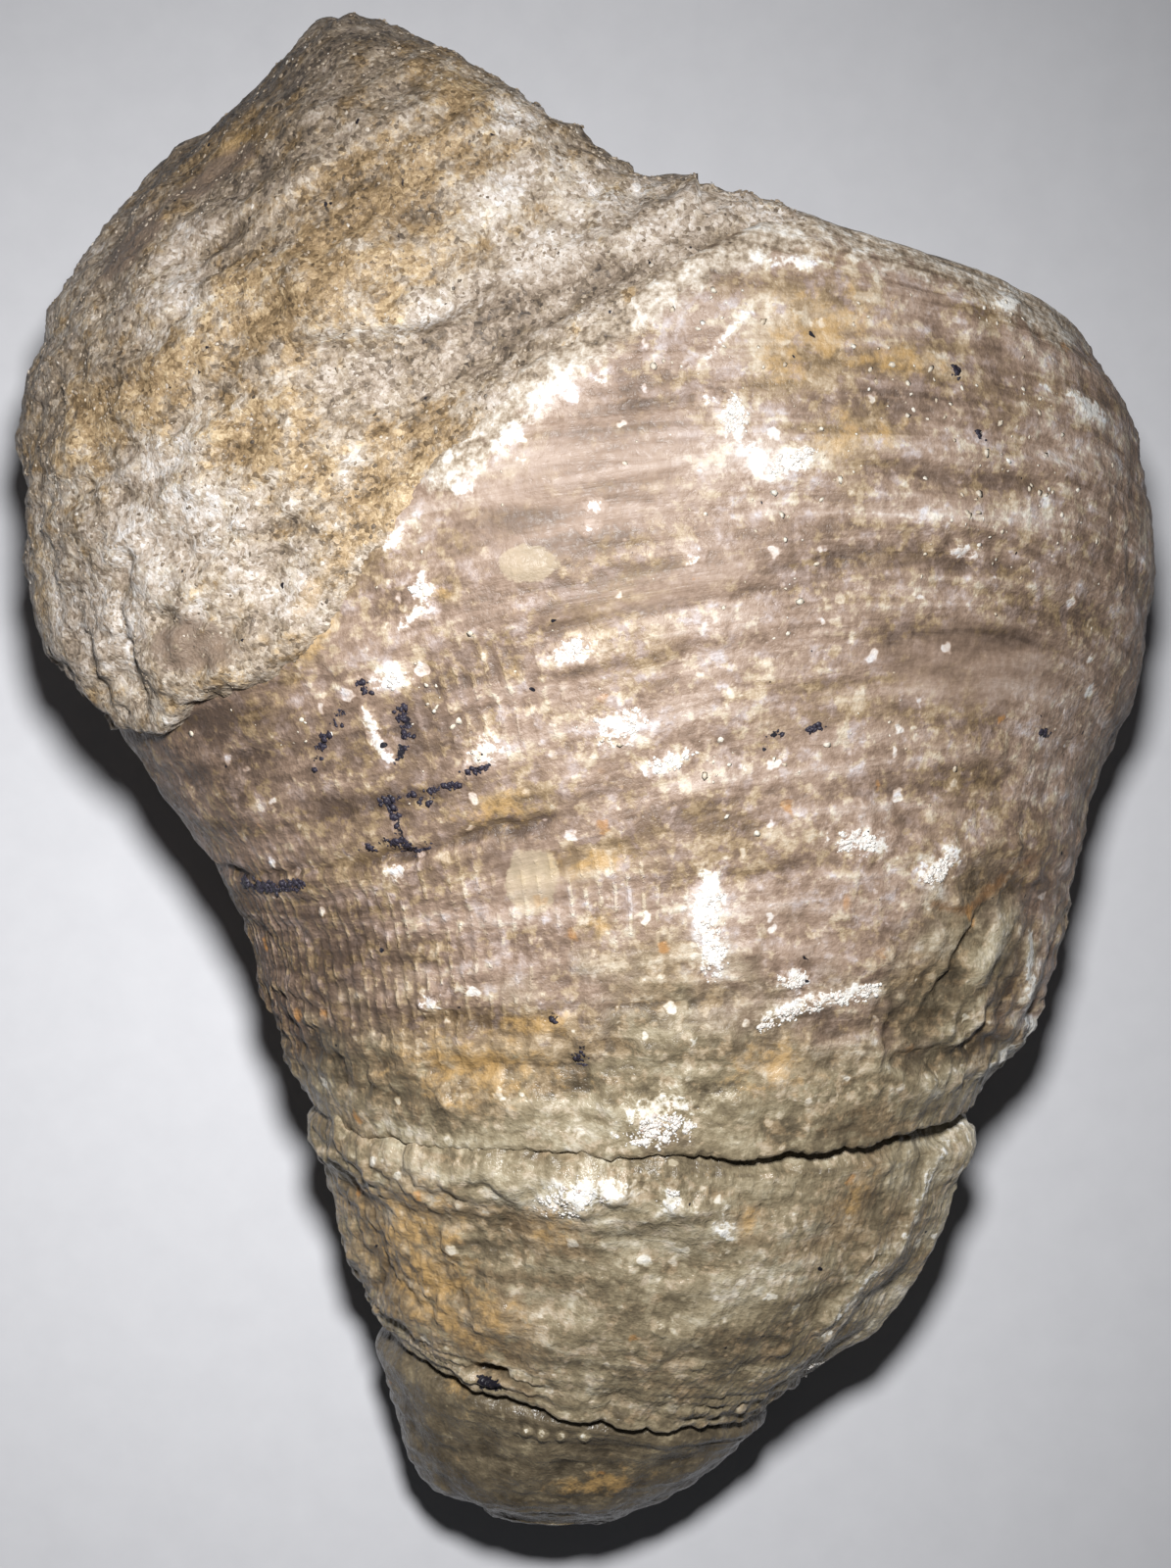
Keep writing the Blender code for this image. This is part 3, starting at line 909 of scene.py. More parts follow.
FILLING_GOLD = [
    (-18.4, 31.0, 6.5, 2.8, 20), (-23.1, 41.1, 3.4, 1.2, 27), (-14.2, 17.5, 6.4, 2.8, 52),
    (-13.0, 37.0, 6.0, 2.6, 30), (-29.6, 25.0, 5.0, 1.6, 30), (-8.0, 44.4, 3.0, 1.2, -35),
    (-21.0, 22.0, 4.0, 3.0, 30),
]
LEDGE = [
    (-16.0, 28.0), (-12.9, 28.6), (-9.2, 29.0), (-6.4, 30.4), (-2.3, 32.7), (2.4, 33.8), (7.0, 36.5),
]
CREASES = [
    (0.6, (-29.9, 14.4), (-30.2, 11.0), (-29.8, 8.6)),
    (0.5, (-11.0, 28.2), (-6.4, 29.8), (-2.3, 32.1), (1.4, 33.2)),
    (0.4, (-26.8, 33.6), (-24.8, 34.4), (-22.9, 35.7)),
    (0.4, (-32.5, 18.9), (-30.4, 20.4), (-28.1, 22.5)),
    (0.3, (-20.0, 25.0), (-16.4, 27.6), (-12.0, 31.4)),
]
FILLING_BROWN = [
    (-25.6, 8.3, 3.6, 1.9, -8), (-29.6, 34.6, 4.0, 1.1, 48), (-24.6, 39.0, 4.6, 1.0, 32),
]
FILLING_OCHRE = [
    (-20.9, 8.8, 0.6, 0.6, 0), (-17.6, 12.0, 3.0, 0.8, 55), (-12.6, 14.6, 3.4, 0.6, 56),
    (-22.4, 41.4, 2.6, 0.5, 27),
]
FILLING_BLACK = [
    (-12.2, 34.8, 0.24, 0.24, 0), (-12.0, 38.4, 0.16, 0.7, 20), (-14.3, 31.7, 0.14, 0.3, 0),
]
# the filling's far upper left corner, where shade is painted darker
FILLING_SHADE = [(-22.0, 45.0, 12.0, 6.0, 30)]
print("filling:", len(FILLING_WHITE), "white and", len(FILLING_GOLD), "golden places")


# %% [markdown]
# ## The filling's surface
# Sand settled and was pressed, so its surface has broad lumps, streaks that slant up to the
# right, a ledge where a layer ends, and short creases. It is roughest on top and on the left,
# and calmer underneath, where it lay in the ground.


# %% Relief of the filling
FILLING_TURN = math.radians(28)


def filling_relief(points, inside, lower_left):
    """How far each point moves out, in mm. inside is the distance in from the ragged margin."""
    relief = -SINK + (SINK + 0.8 * lower_left) * eased(inside / 2.0 + 0.7)
    solid = eased(inside / 2.0)
    facing = 0.15 + 0.85 * eased((points[..., 2] - 10) / 18) * eased((47 - points[..., 1]) / 4)
    relief += solid * (0.60 * rough(points, 7.0, 3, 42) + 0.30 * facing * rough(points, 2.2, 3, 43))
    relief += eased(inside) * 0.12 * facing * rough(points, 0.7, 2, 44)
    streaks = np.abs(rough(points @ fold_frame(36, 7.0, 1.8), 1.0, 3, 45))
    relief += solid * 0.6 * (0.25 - streaks) * eased((points[..., 0] + 34) / 10)
    relief += solid * 0.40 * facing * rough(points @ fold_frame(36, 6.0, 2.2), 1.0, 3, 46)
    relief += lower_left * solid * 0.8 * rough(points, 3.2, 2, 47)
    from_ledge = signed_distance(points, LEDGE)
    near_ledge = np.exp(-((from_ledge / 4.5) ** 2)) * on_top(points)
    relief += 1.1 * (eased(from_ledge / 1.6 + 0.5) - 0.5) * near_ledge
    for depth, *route in CREASES:
        crease = distance_to(points, route) + 0.3 * rough(points, 1.5, 2, 48)
        relief -= depth * np.exp(-((crease / 0.45) ** 2)) * on_top(points)
    low_rim = eased((15 - points[..., 2]) / 6) * eased((points[..., 1] - 25) / 4)
    return relief * (1 - 0.85 * low_rim)


# %% Build the filling
def stone_filling():
    angle = column_angles(430, 0.72)
    degrees = np.degrees(angle)
    angle = angle + FILLING_TURN * eased((degrees + 90) / 60) * eased((270 - degrees) / 60)
    wall_rows = ring_steps((3.2, 4.0, 6), (4.0, 7.0, 96), (7, 8, 84))
    along = np.concatenate([wall_rows, 8 + np.linspace(0, 1, 40) ** 1.25])
    points = last_cup_points(along, angle)
    normals = grid_normals(points)
    inside = filling_distance(points)
    inside = inside + 0.8 * rough(points, 4.0, 3, 41) + 0.4 * rough(points, 1.1, 2, 49)
    lower_left = eased((-14 - points[..., 0]) / 8) * eased((16 - points[..., 1]) / 8)
    relief = filling_relief(points, inside, lower_left)
    points = points + normals * relief[..., None]
    edge = eased(1 - np.abs(inside - 0.4) / 1.2) * lower_left
    points[..., 0] -= 0.25 * edge
    points[..., 1] -= 0.7 * edge * eased((-24 - points[..., 0]) / 4)
    points[..., 2] = np.maximum(points[..., 2], 0.4)
    points[:2] = points[0].mean(0)
    # painted shade: the far corner and the flanks of the filling are painted darker
    far_corner = 0.8 * spots_mask(points, FILLING_SHADE)
    masks = {
        "relief_shade": relief,
        "shade": np.maximum(far_corner, 0.4 * flank_shade(points, 22, 14)),
        "brown": spots_mask(points, FILLING_BROWN),
        "white": spots_mask(points, FILLING_WHITE),
        "tan": spots_mask(points, FILLING_GOLD),
        "ochre": spots_mask(points, FILLING_OCHRE),
        "black": spots_mask(points, FILLING_BLACK),
    }
    return make_skin("stone_filling", points, masks)


stone_filling_piece = stone_filling()

# %% [markdown]
# ## Finishes
# A finish is a Principled material that is built up in thin coats, the way the stone itself is:
# a base of calcite, then bands, grains, stains and crust over it. A small helper keeps the node
# calls short. Patterns use Object coordinates in mm, or the growth and rib numbers stored on
# the skins.


# %% A helper that builds a material node by node
class Finish:
    """One material. Its methods add a node and return the node's output."""

    def __init__(self, name):
        self.material = bpy.data.materials.new(name)
        self.material.use_nodes = True
        self.tree = self.material.node_tree
        self.shader = self.tree.nodes["Principled BSDF"]
        self.mm = self.vector("SCALE", self.node("ShaderNodeTexCoord", {}, "Object"), 1 / MM)

    def node(self, kind, inputs, output=0, **settings):
        node = self.tree.nodes.new(kind)
        for key, value in settings.items():
            setattr(node, key, value)
        for key, value in inputs.items():
            self.join(value, node.inputs[key])
        return node.outputs[output]

    def join(self, value, socket):
        if isinstance(value, bpy.types.NodeSocket):
            self.tree.links.new(value, socket)
        else:
            socket.default_value = value

    def attribute(self, name):
        """A mask stored on the skin."""
        return self.node("ShaderNodeAttribute", {}, "Fac", attribute_name=name)

    def math(self, operation, a, b=0.0):
        return self.node("ShaderNodeMath", {0: a, 1: b}, operation=operation)

    def vector(self, operation, a, scale):
        return self.node("ShaderNodeVectorMath", {0: a, "Scale": scale}, operation=operation)

    def mapped(self, vector, scale=(1, 1, 1), turn=0.0, shift=(0, 0, 0)):
        """The coordinates turned by some degrees about Z, then scaled and shifted."""
        if turn:
            rotation = (0, 0, math.radians(turn))
            vector = self.node("ShaderNodeMapping", {"Vector": vector, "Rotation": rotation})
        return self.node("ShaderNodeMapping", {"Vector": vector, "Scale": scale, "Location": shift})

    def noise(self, vector, scale, detail=3.0, roughness=0.5, distortion=0.0):
        inputs = {
            "Vector": vector,
            "Scale": scale,
            "Detail": detail,
            "Roughness": roughness,
            "Distortion": distortion,
        }
        return self.node("ShaderNodeTexNoise", inputs)

    def cells(self, vector, scale):
        """The distance from the middle of a cell, and the cell's own random number."""
        distance = self.node("ShaderNodeTexVoronoi", {"Vector": vector, "Scale": scale})
        return distance, self.node("ShaderNodeSeparateColor", {0: distance.node.outputs["Color"]})

    def warped(self, scale, amount):
        """The place in mm, pushed about by noise so that round shapes come out uneven."""
        inputs = {"Vector": self.mm, "Scale": scale, "Detail": 1}
        push = self.node("ShaderNodeTexNoise", inputs, "Color")
        inputs = {0: push, 1: (0.5, 0.5, 0.5)}
        push = self.node("ShaderNodeVectorMath", inputs, operation="SUBTRACT")
        push = self.vector("SCALE", push, amount)
        return self.node("ShaderNodeVectorMath", {0: self.mm, 1: push}, operation="ADD")

    def specks(self, vector, scale, share, radius, soft=0.14):
        """Soft round spots: this share of the cells holds one, most of them small."""
        distance, random = self.cells(vector, scale)
        inputs = {0: random, 1: 1 - share, 2: 1.0, 3: 0.0, 4: radius}
        here = self.node("ShaderNodeMapRange", inputs)
        return self.step(self.math("SUBTRACT", here, distance), 0.0, soft)

    def step(self, value, low, high, to_low=0.0, to_high=1.0):
        """A smooth step: to_low up to low, and to_high from high on."""
        inputs = {0: value, 1: low, 2: high, 3: to_low, 4: to_high}
        return self.node("ShaderNodeMapRange", inputs, interpolation_type="SMOOTHSTEP")

    def blend(self, factor, a, b, blend_type="MIX"):
        a, b = ((*c, 1) if isinstance(c, tuple) else c for c in (a, b))
        inputs = {0: factor, 6: a, 7: b}
        return self.node("ShaderNodeMix", inputs, 2, data_type="RGBA", blend_type=blend_type)

    def ramp(self, value, tones):
        """A colour ramp through (place, colour) stops."""
        node = self.tree.nodes.new("ShaderNodeValToRGB")
        stops = node.color_ramp.elements
        for i, (place, colour) in enumerate(tones):
            stop = stops[i] if i < 2 else stops.new(place)
            stop.position = place
            stop.color = (*colour, 1)
        self.join(value, node.inputs["Fac"])
        return node.outputs["Color"]

    def swing(self, value, amount):
        """How far the value is from 0.5, times the amount."""
        return self.math("MULTIPLY", self.math("SUBTRACT", value, 0.5), amount)

    def product(self, *values):
        total = values[0]
        for value in values[1:]:
            total = self.math("MULTIPLY", total, value)
        return total

    def sum(self, *values):
        total = values[0]
        for value in values[1:]:
            total = self.math("ADD", total, value)
        return total

    def finish(self, colour, roughness, height, depth_mm):
        """Joins everything to the shader and returns the finished material."""
        self.join(colour, self.shader.inputs["Base Color"])
        self.join(roughness, self.shader.inputs["Roughness"])
        self.join(SHEEN, self.shader.inputs["Specular IOR Level"])
        bump = self.node("ShaderNodeBump", {"Height": height, "Distance": depth_mm * MM})
        self.join(bump, self.shader.inputs["Normal"])
        return self.material


# %% Colours of the stone
SHEEN = 0.30
BLACK = (0.012, 0.011, 0.016)
CHALK = (0.72, 0.705, 0.665)
MAUVE_TONES = [
    (0.22, (0.085, 0.058, 0.043)),
    (0.36, (0.180, 0.124, 0.090)),
    (0.45, (0.272, 0.192, 0.144)),
    (0.53, (0.366, 0.276, 0.220)),
    (0.61, (0.464, 0.380, 0.326)),
    (0.73, (0.615, 0.570, 0.530)),
    (0.88, CHALK),
]
CREAM_TONES = [
    (0.22, (0.105, 0.070, 0.038)),
    (0.36, (0.205, 0.143, 0.082)),
    (0.45, (0.305, 0.222, 0.136)),
    (0.53, (0.416, 0.328, 0.232)),
    (0.61, (0.522, 0.448, 0.350)),
    (0.73, (0.655, 0.605, 0.520)),
    (0.88, CHALK),
]
OLIVE_TONES = [
    (0.22, (0.056, 0.044, 0.029)),
    (0.36, (0.130, 0.103, 0.066)),
    (0.45, (0.215, 0.174, 0.110)),
    (0.53, (0.305, 0.255, 0.170)),
    (0.61, (0.400, 0.350, 0.252)),
    (0.73, (0.570, 0.525, 0.435)),
    (0.88, CHALK),
]
SAND_TONES = [
    (0.20, (0.066, 0.052, 0.041)),
    (0.36, (0.185, 0.142, 0.100)),
    (0.48, (0.325, 0.260, 0.194)),
    (0.60, (0.474, 0.410, 0.336)),
    (0.74, (0.640, 0.600, 0.545)),
    (0.90, CHALK),
]


# %% [markdown]
# ## One scale of tones
# Rust, dirt and chalk don't lie on this stone like paint. Where the stone is dense it looks brown
# and a little clear, and where it is crushed or weathered it turns paler up to chalk white. So
# each material works out one number, from dense to chalky, as a sum of patterns. Painted shade
# on the flanks and in sunk places is taken off the same number. A ramp of tones then turns the
# number into a colour, and all edges come out as ragged as the patterns.


# %% Sandy pattern of the filling
def sandy_tone(f):
    """Tone and height of sandy stone whose grains are drawn out in slanting streaks."""
    broad = f.noise(f.mapped(f.mm, (0.08, 0.24, 0.24), turn=-37), 1.0, 4, 0.62, 0.5)
    thin = f.noise(f.mapped(f.mm, (0.40, 1.3, 1.3), turn=-35), 1.0, 2, 0.60)
    mottle = f.noise(f.mm, 0.95, 4, 0.70)
    grit = f.noise(f.mm, 2.7, 2, 0.70)
    from_middle, grain = f.cells(f.warped(2.0, 0.4), 3.1)
    tone = f.sum(
        0.466,
        f.swing(broad, 0.30),
        f.swing(thin, 0.20),
        f.swing(mottle, 0.31),
        f.swing(grit, 0.32),
        f.swing(grain, 0.19),
        f.step(grain, 0.16, 0.04, 0.0, -0.05),
    )
    height = f.sum(f.swing(mottle, 1.0), f.swing(grit, 0.8), f.swing(grain, 0.7))
    height = f.sum(height, f.product(from_middle, -0.25))
    return tone, height, broad


# %% The finish of the cups
def cup_finish(name, cool_tones, warm_tones, denser, rib_strength, contrast):
    """Calcite wall. denser shifts its tone towards dense, dark stone."""
    f = Finish(name)
    growth, turn = f.attribute("growth"), f.attribute("turn")
    ribs = f.product(f.attribute("ribs"), rib_strength)
    ochre = f.attribute("ochre")
    grown = f.node("ShaderNodeCombineXYZ", {"X": turn, "Y": growth})
    bands = f.noise(f.mapped(grown, (0.060, 0.32, 1)), 1.0, 3, 0.60, 0.8)
    thin_bands = f.noise(f.mapped(grown, (0.13, 0.95, 1), shift=(5, 3, 0)), 1.0, 3, 0.6, 0.5)
    clouds = f.noise(f.mm, 0.15, 3, 0.62)
    swarm = f.step(f.noise(f.mm, 0.27, 3, 0.65), 0.38, 0.62)
    blotch = f.noise(f.mm, 0.80, 4, 0.66)
    grain = f.noise(f.mm, 2.4, 2, 0.60)
    wave = f.math("COSINE", f.product(turn, math.tau))
    dull = f.step(f.attribute("smooth"), 0.30, 0.75, 1.0, 0.30)
    # soft blobs of cream and of lilac calcite, and small round specks of both and of white
    warped = f.warped(1.6, 0.9)
    cream = f.noise(f.mapped(f.mm, shift=(4, 5, 1)), 1.05, 3, 0.62)
    cream = f.product(f.step(f.sum(cream, f.product(swarm, 0.10)), 0.52, 0.72), dull)
    lilac = f.noise(f.mapped(f.mm, shift=(2, 6, 5)), 0.70, 3, 0.66)
    lilac = f.product(f.step(lilac, 0.50, 0.68), dull)
    small = f.specks(f.mapped(warped, shift=(3, 7, 2)), 1.15, 0.55, 0.50, 0.20)
    small = f.product(small, f.step(swarm, 0, 1, 0.25, 1.0), dull)
    white = f.specks(f.mapped(warped, shift=(9, 4, 1)), 0.62, 0.24, 0.36, 0.12)
    ridge = f.product(f.step(wave, 0.20, 0.95), ribs, f.step(blotch, 0.46, 0.58))
    # powdery chalk, with a paler ring round each patch
    ragged = f.sum(f.swing(blotch, 1.5), f.swing(grain, 0.9))
    chalk = f.step(f.sum(f.attribute("chalk"), ragged), 0.54, 0.80)
    ring = f.step(f.sum(f.attribute("chalk"), f.product(ragged, 0.7)), 0.15, 0.50)
    tone = f.sum(
        0.430 - denser,
        f.swing(bands, 0.66 * contrast),
        f.product(f.swing(thin_bands, 0.46 * contrast), f.step(dull, 0.3, 1.0, 0.5, 1.0)),
        f.swing(clouds, 0.22),
        f.product(f.swing(blotch, 0.42 * contrast), dull),
        f.swing(grain, 0.16),
        f.product(ridge, 0.08),
        f.product(f.step(f.attribute("pale"), 0.15, 0.95), 0.10),
        f.product(f.step(f.attribute("clear"), 0.15, 0.85), -0.08),
        # painted shade on the flanks and at the shade spots
        f.product(f.attribute("shade"), -0.20),
        f.product(f.step(f.attribute("peel"), 0.3, 0.7), 0.06),
        f.product(f.attribute("keel"), 0.12),
        f.product(cream, 0.13 * contrast),
        f.product(lilac, 0.10 * contrast),
        f.product(small, 0.13),
        f.product(white, 0.36 * contrast),
        f.product(ring, 0.08),
        f.product(chalk, f.sum(0.26, f.swing(grain, 0.5))),
        # painted shade, darker where the surface sinks into grooves and hollows
        f.step(f.attribute("relief_shade"), 0.0, -0.6, 0.0, -0.20),
    )
    # the stone is mauve where it is fresh and yellower where it is stained
    warm = f.sum(
        f.swing(f.noise(f.mapped(f.mm, shift=(9, 2, 4)), 0.13, 3, 0.6), 1.3),
        f.swing(bands, -0.8),
        f.swing(blotch, 0.7),
        f.product(cream, 0.55),
        f.product(small, 0.30),
        f.product(lilac, -0.50),
        f.product(ridge, 0.40),
        f.product(ochre, 0.75),
    )
    warm = f.step(warm, -0.04, 0.56)
    colour = f.blend(warm, f.ramp(tone, cool_tones), f.ramp(tone, warm_tones))
    cooler = f.blend(1.0, colour, (0.95, 0.99, 1.09), "MULTIPLY")
    colour = f.blend(f.product(lilac, f.step(warm, 0.6, 0.1)), colour, cooler)
    olive = f.step(f.sum(f.attribute("olive"), f.swing(clouds, 1.6)), 0.30, 0.90)
    older = f.ramp(tone, OLIVE_TONES)
    older = f.blend(f.product(warm, 0.7), older, f.ramp(f.sum(tone, -0.02), warm_tones))
    colour = f.blend(olive, colour, older)
    # rusty stains and orange dots
    deep = f.sum(f.product(ochre, 0.38), blotch)
    colour = f.blend(f.product(f.step(deep, 0.66, 0.92), 0.66), colour, (0.44, 0.275, 0.105))
    dots = f.specks(f.mapped(warped, shift=(5, 1, 8)), 0.50, 0.12, 0.34, 0.15)
    dots = f.product(dots, f.step(clouds, 0.40, 0.52))
    colour = f.blend(f.product(dots, 0.60), colour, (0.42, 0.20, 0.055))
    rust = f.sum(f.attribute("rust"), f.swing(blotch, 1.2))
    colour = f.blend(f.product(f.step(rust, 0.55, 0.95), 0.70), colour, (0.17, 0.085, 0.035))
    tan = f.step(f.sum(f.attribute("tan"), f.swing(blotch, 0.4)), 0.50, 0.56)
    colour = f.blend(f.product(tan, 0.45), colour, (0.50, 0.42, 0.29))
    # sandy margin
    margin = f.step(f.sum(f.attribute("margin"), f.swing(blotch, 1.6)), 0.35, 0.85)
    sand = f.sum(tone, f.swing(grain, 0.5), f.swing(blotch, 0.4), 0.05)
    colour = f.blend(margin, colour, f.ramp(sand, SAND_TONES))
    # black mineral, and painted shade in the second cup's hole
    black = f.sum(f.attribute("black"), f.swing(blotch, 2.0), f.swing(grain, 1.2))
    black = f.product(f.step(black, 0.72, 0.86), f.step(f.attribute("black"), 0.15, 0.35))
    flecks = f.step(f.noise(f.mm, 0.95, 1, 0.5), 0.80, 0.81)
    colour = f.blend(f.math("MAXIMUM", black, flecks), colour, BLACK)
    roughness = f.step(f.sum(grain, f.product(chalk, 0.6)), 0.30, 0.95, 0.40, 0.90)
    wet = f.math("MAXIMUM", f.attribute("peel"), f.product(f.attribute("olive"), 0.6))
    roughness = f.product(roughness, f.step(wet, 0.3, 0.7, 1.0, 0.6))
    bump = f.sum(
        f.product(f.swing(blotch, 1.0), dull),
        f.product(f.swing(grain, 0.5), dull),
        f.product(ridge, 0.22),
        f.swing(thin_bands, 0.6),
    )
    return f.finish(colour, roughness, bump, 0.20)


# %% The finish of the stone filling
def sandstone_finish():
    """Sandy stone with stains and white crushed places."""
    f = Finish("sandstone_filling")
    tone, height, broad = sandy_tone(f)
    clouds = f.noise(f.mm, 0.10, 4, 0.6)
    patches = f.noise(f.mapped(f.mm, shift=(4, 1, 3)), 0.34, 4, 0.68, 0.4)
    white = f.step(f.sum(f.attribute("white"), f.swing(patches, 0.9)), 0.15, 0.95)
    tone = f.sum(
        tone,
        f.swing(clouds, 0.26),
        f.swing(patches, 0.36),
        f.product(white, 0.15),
        # painted shade: darker on the flanks, at the far corner and where the surface is sunk
        f.product(f.attribute("shade"), -0.13),
        f.step(f.attribute("relief_shade"), 0.0, -0.9, 0.0, -0.12),
    )
    colour = f.ramp(tone, SAND_TONES)
    warm = f.sum(
        f.product(f.attribute("tan"), 0.50),
        f.product(white, -0.34),
        f.swing(broad, 0.9),
        f.swing(patches, -1.2),
        f.swing(f.noise(f.mapped(f.mm, shift=(3, 3, 7)), 0.9, 3, 0.70), 1.5),
    )
    gold = f.blend(1.0, colour, (1.04, 0.91, 0.68), "MULTIPLY")
    colour = f.blend(f.step(warm, -0.02, 0.38), colour, gold)
    cool = f.blend(1.0, colour, (0.99, 0.99, 1.03), "MULTIPLY")
    colour = f.blend(f.step(warm, -0.02, -0.26), colour, cool)
    brown = f.step(f.sum(f.attribute("brown"), f.swing(patches, 0.9)), 0.5, 0.7)
    colour = f.blend(f.product(brown, 0.85), colour, (0.20, 0.145, 0.108))
    ochre = f.step(f.sum(f.attribute("ochre"), f.swing(patches, 1.2)), 0.5, 1.0)
    colour = f.blend(f.product(ochre, 0.50), colour, (0.42, 0.27, 0.11))
    specks = f.step(f.noise(f.mm, 1.1, 2, 0.5), 0.74, 0.77)
    black = f.step(f.attribute("black"), 0.5, 0.7)
    colour = f.blend(f.math("MAXIMUM", specks, black), colour, BLACK)
    roughness = f.step(f.noise(f.mm, 5.0, 2), 0.3, 0.7, 0.36, 0.70)
    return f.finish(colour, roughness, height, 0.15)


# %% Put the finishes on
CUP_FINISHES = [
    (last_cup_piece, "last_cup_calcite", MAUVE_TONES, CREAM_TONES, -0.006, 1.0, 0.76),
    (second_cup_piece, "second_cup_calcite", OLIVE_TONES, CREAM_TONES, -0.005, 0.5, 0.65),
    (first_cup_piece, "first_cup_calcite", OLIVE_TONES, OLIVE_TONES, 0.13, 0.3, 0.5),
]
for piece, *settings in CUP_FINISHES:
    piece.data.materials.append(cup_finish(*settings))
stone_filling_piece.data.materials.append(sandstone_finish())
print("finishes:", [material.name for material in bpy.data.materials])

# %% [markdown]
# ## Grains, crusts and black mineral
# What stands proud on the skins is made of separate small grains: cream calcite beads on the
# wall, quartz sand on the filling, white lime crust, and a black mineral that crept along the
# cracks. Each kind is one mesh. One twenty-faced grain is doubled until there are enough, and
# then each copy gets its own place, turn, size and bent corners.


# %% Where grains may sit
def skin_places(skin):
    """Places and normals of a skin's vertices, in mm."""
    mesh = skin.data
    places = np.empty(len(mesh.vertices) * 3, np.float32)
    normals = np.empty(len(mesh.vertices) * 3, np.float32)
    mesh.vertices.foreach_get("co", places)
    mesh.vertices.foreach_get("normal", normals)
    return places.reshape(-1, 3).astype(float) / MM, normals.reshape(-1, 3).astype(float)


def chosen_places(skin, weight, count, seed):
    """Random places on a skin, more of them where the weight of a place is high."""
    places, normals = skin_places(skin)
    weights = np.clip(weight(places), 0, None)
    random = np.random.default_rng(seed)
    chosen = random.choice(len(places), count, p=weights / weights.sum())
    side = np.cross(normals[chosen], random.normal(size=(count, 3)))
    return places[chosen] + side * 0.12, normals[chosen]


# %% Make many grains as one mesh
GRAIN_CORNERS, GRAIN_EDGES, GRAIN_FACES = 12, 30, 20


def doubled_grains(count):
    """A bmesh of this many twenty-faced grains, all in the same place."""
    bm = bmesh.new()
    bmesh.ops.create_icosphere(bm, subdivisions=1, radius=1)
    made = 1
    while made < count:
        more = min(made, count - made)
        part = [
            *list(bm.verts)[: more * GRAIN_CORNERS],
            *list(bm.edges)[: more * GRAIN_EDGES],
            *list(bm.faces)[: more * GRAIN_FACES],
        ]
        bmesh.ops.duplicate(bm, geom=part)
        made += more
    return bm


def make_grains(name, places, normals, sizes, flatness, seed, tones, smooth):
    """Grains at these places. A grain is flattened along the normal of the skin it sits on."""
    count = len(places)
    random = np.random.default_rng(seed)
    bm = doubled_grains(count)
    mesh = bpy.data.meshes.new(name)
    bm.to_mesh(mesh)
    bm.free()
    corners = np.empty(len(mesh.vertices) * 3, np.float32)
    mesh.vertices.foreach_get("co", corners)
    corners = corners.reshape(count, GRAIN_CORNERS, 3).astype(float)
    corners *= 1 + 0.25 * random.normal(size=(count, GRAIN_CORNERS, 1)).clip(-1.6, 1.6)
    sides = np.cross(normals, random.normal(size=(count, 3)))
    sides /= np.linalg.norm(sides, axis=1)[:, None]
    axes = np.stack([sides, np.cross(normals, sides), normals], 1)
    shape = np.stack([sizes, sizes * random.uniform(0.55, 0.95, count), sizes * flatness], 1)
    corners = np.einsum("nci,nij->ncj", corners * shape[:, None], axes) + places[:, None]
    mesh.vertices.foreach_set("co", (corners * MM).astype(np.float32).ravel())
    layer = mesh.attributes.new("tone", "FLOAT", "POINT")
    layer.data.foreach_set("value", np.repeat(tones, GRAIN_CORNERS).astype(np.float32))
    mesh.update()
    if smooth:
        mesh.shade_smooth()
    grains = bpy.data.objects.new(name, mesh)
    bpy.context.scene.collection.objects.link(grains)
    print(name, count, "grains")
    return grains


# %% The finish of grains: each has one tone, a little uneven
def grain_finish(name, tones, roughness):
    """A stone whose colour follows the tone stored on each grain."""
    f = Finish(name)
    uneven = f.noise(f.mm, 4.0, 2, 0.6)
    colour = f.ramp(f.sum(f.attribute("tone"), f.swing(uneven, 0.25)), tones)
    return f.finish(colour, roughness, uneven, 0.05)


# %% Make one kind of grain
def one_kind(name, found, seed, size, tone, flatness, finish, shape_seed, smooth=True):
    """A mesh of grains. found lists where: skin, weight, count and seed. size is the smallest, how
    much they grow and where that stops. tone is the usual one, its spread, lowest and highest."""
    spots = [chosen_places(*where) for where in found]
    places = np.concatenate([pair[0] for pair in spots])
    normals = np.concatenate([pair[1] for pair in spots])
    random = np.random.default_rng(seed)
    sizes = size[0] + size[1] * random.exponential(1, len(places)).clip(0, size[2])
    tones = random.normal(tone[0], tone[1], len(places)).clip(tone[2], tone[3])
    grains = make_grains(name, places, normals, sizes, flatness, shape_seed, tones, smooth)
    grains.data.materials.append(grain_finish(*finish))
    return grains


# %% Calcite beads on the last cup
def bead_weight(places):
    """Swarms on the open, upper wall, and few where it is smooth."""
    swarm = eased(rough(places, 4.5, 3, 51) * 1.6 + 0.1)
    dull = 1 - 0.9 * eased(spots_mask(places, SMOOTH_SPOTS) * 2)
    upper = eased((places[:, 2] - 4) / 12) * eased((33 - places[:, 1]) / 4)
    open_wall = signed_distance(places, MARGIN) < -1
    steep = eased((places[:, 2] - 32) / 12)
    return (0.05 + swarm) * dull * upper * open_wall * steep * eased((places[:, 1] + 5) / 8)


calcite_beads_piece = one_kind(
    "calcite_beads",
    [(last_cup_piece, bead_weight, 300, 52)],
    seed=53,
    size=(0.08, 0.08, 2.8),
    tone=(0.67, 0.06, 0, 1),
    flatness=0.10,
    finish=("bead_calcite", CREAM_TONES, 0.40),
    shape_seed=54,
)


# %% Quartz sand on the filling
def sand_weight(places):
    """The filling's upper side, in patches."""
    inside = signed_distance(places, MARGIN) > 0.5
    above = eased((places[:, 2] - 24) / 12)
    return inside * above * (0.3 + eased(rough(places, 3.0, 3, 61) + 0.3))


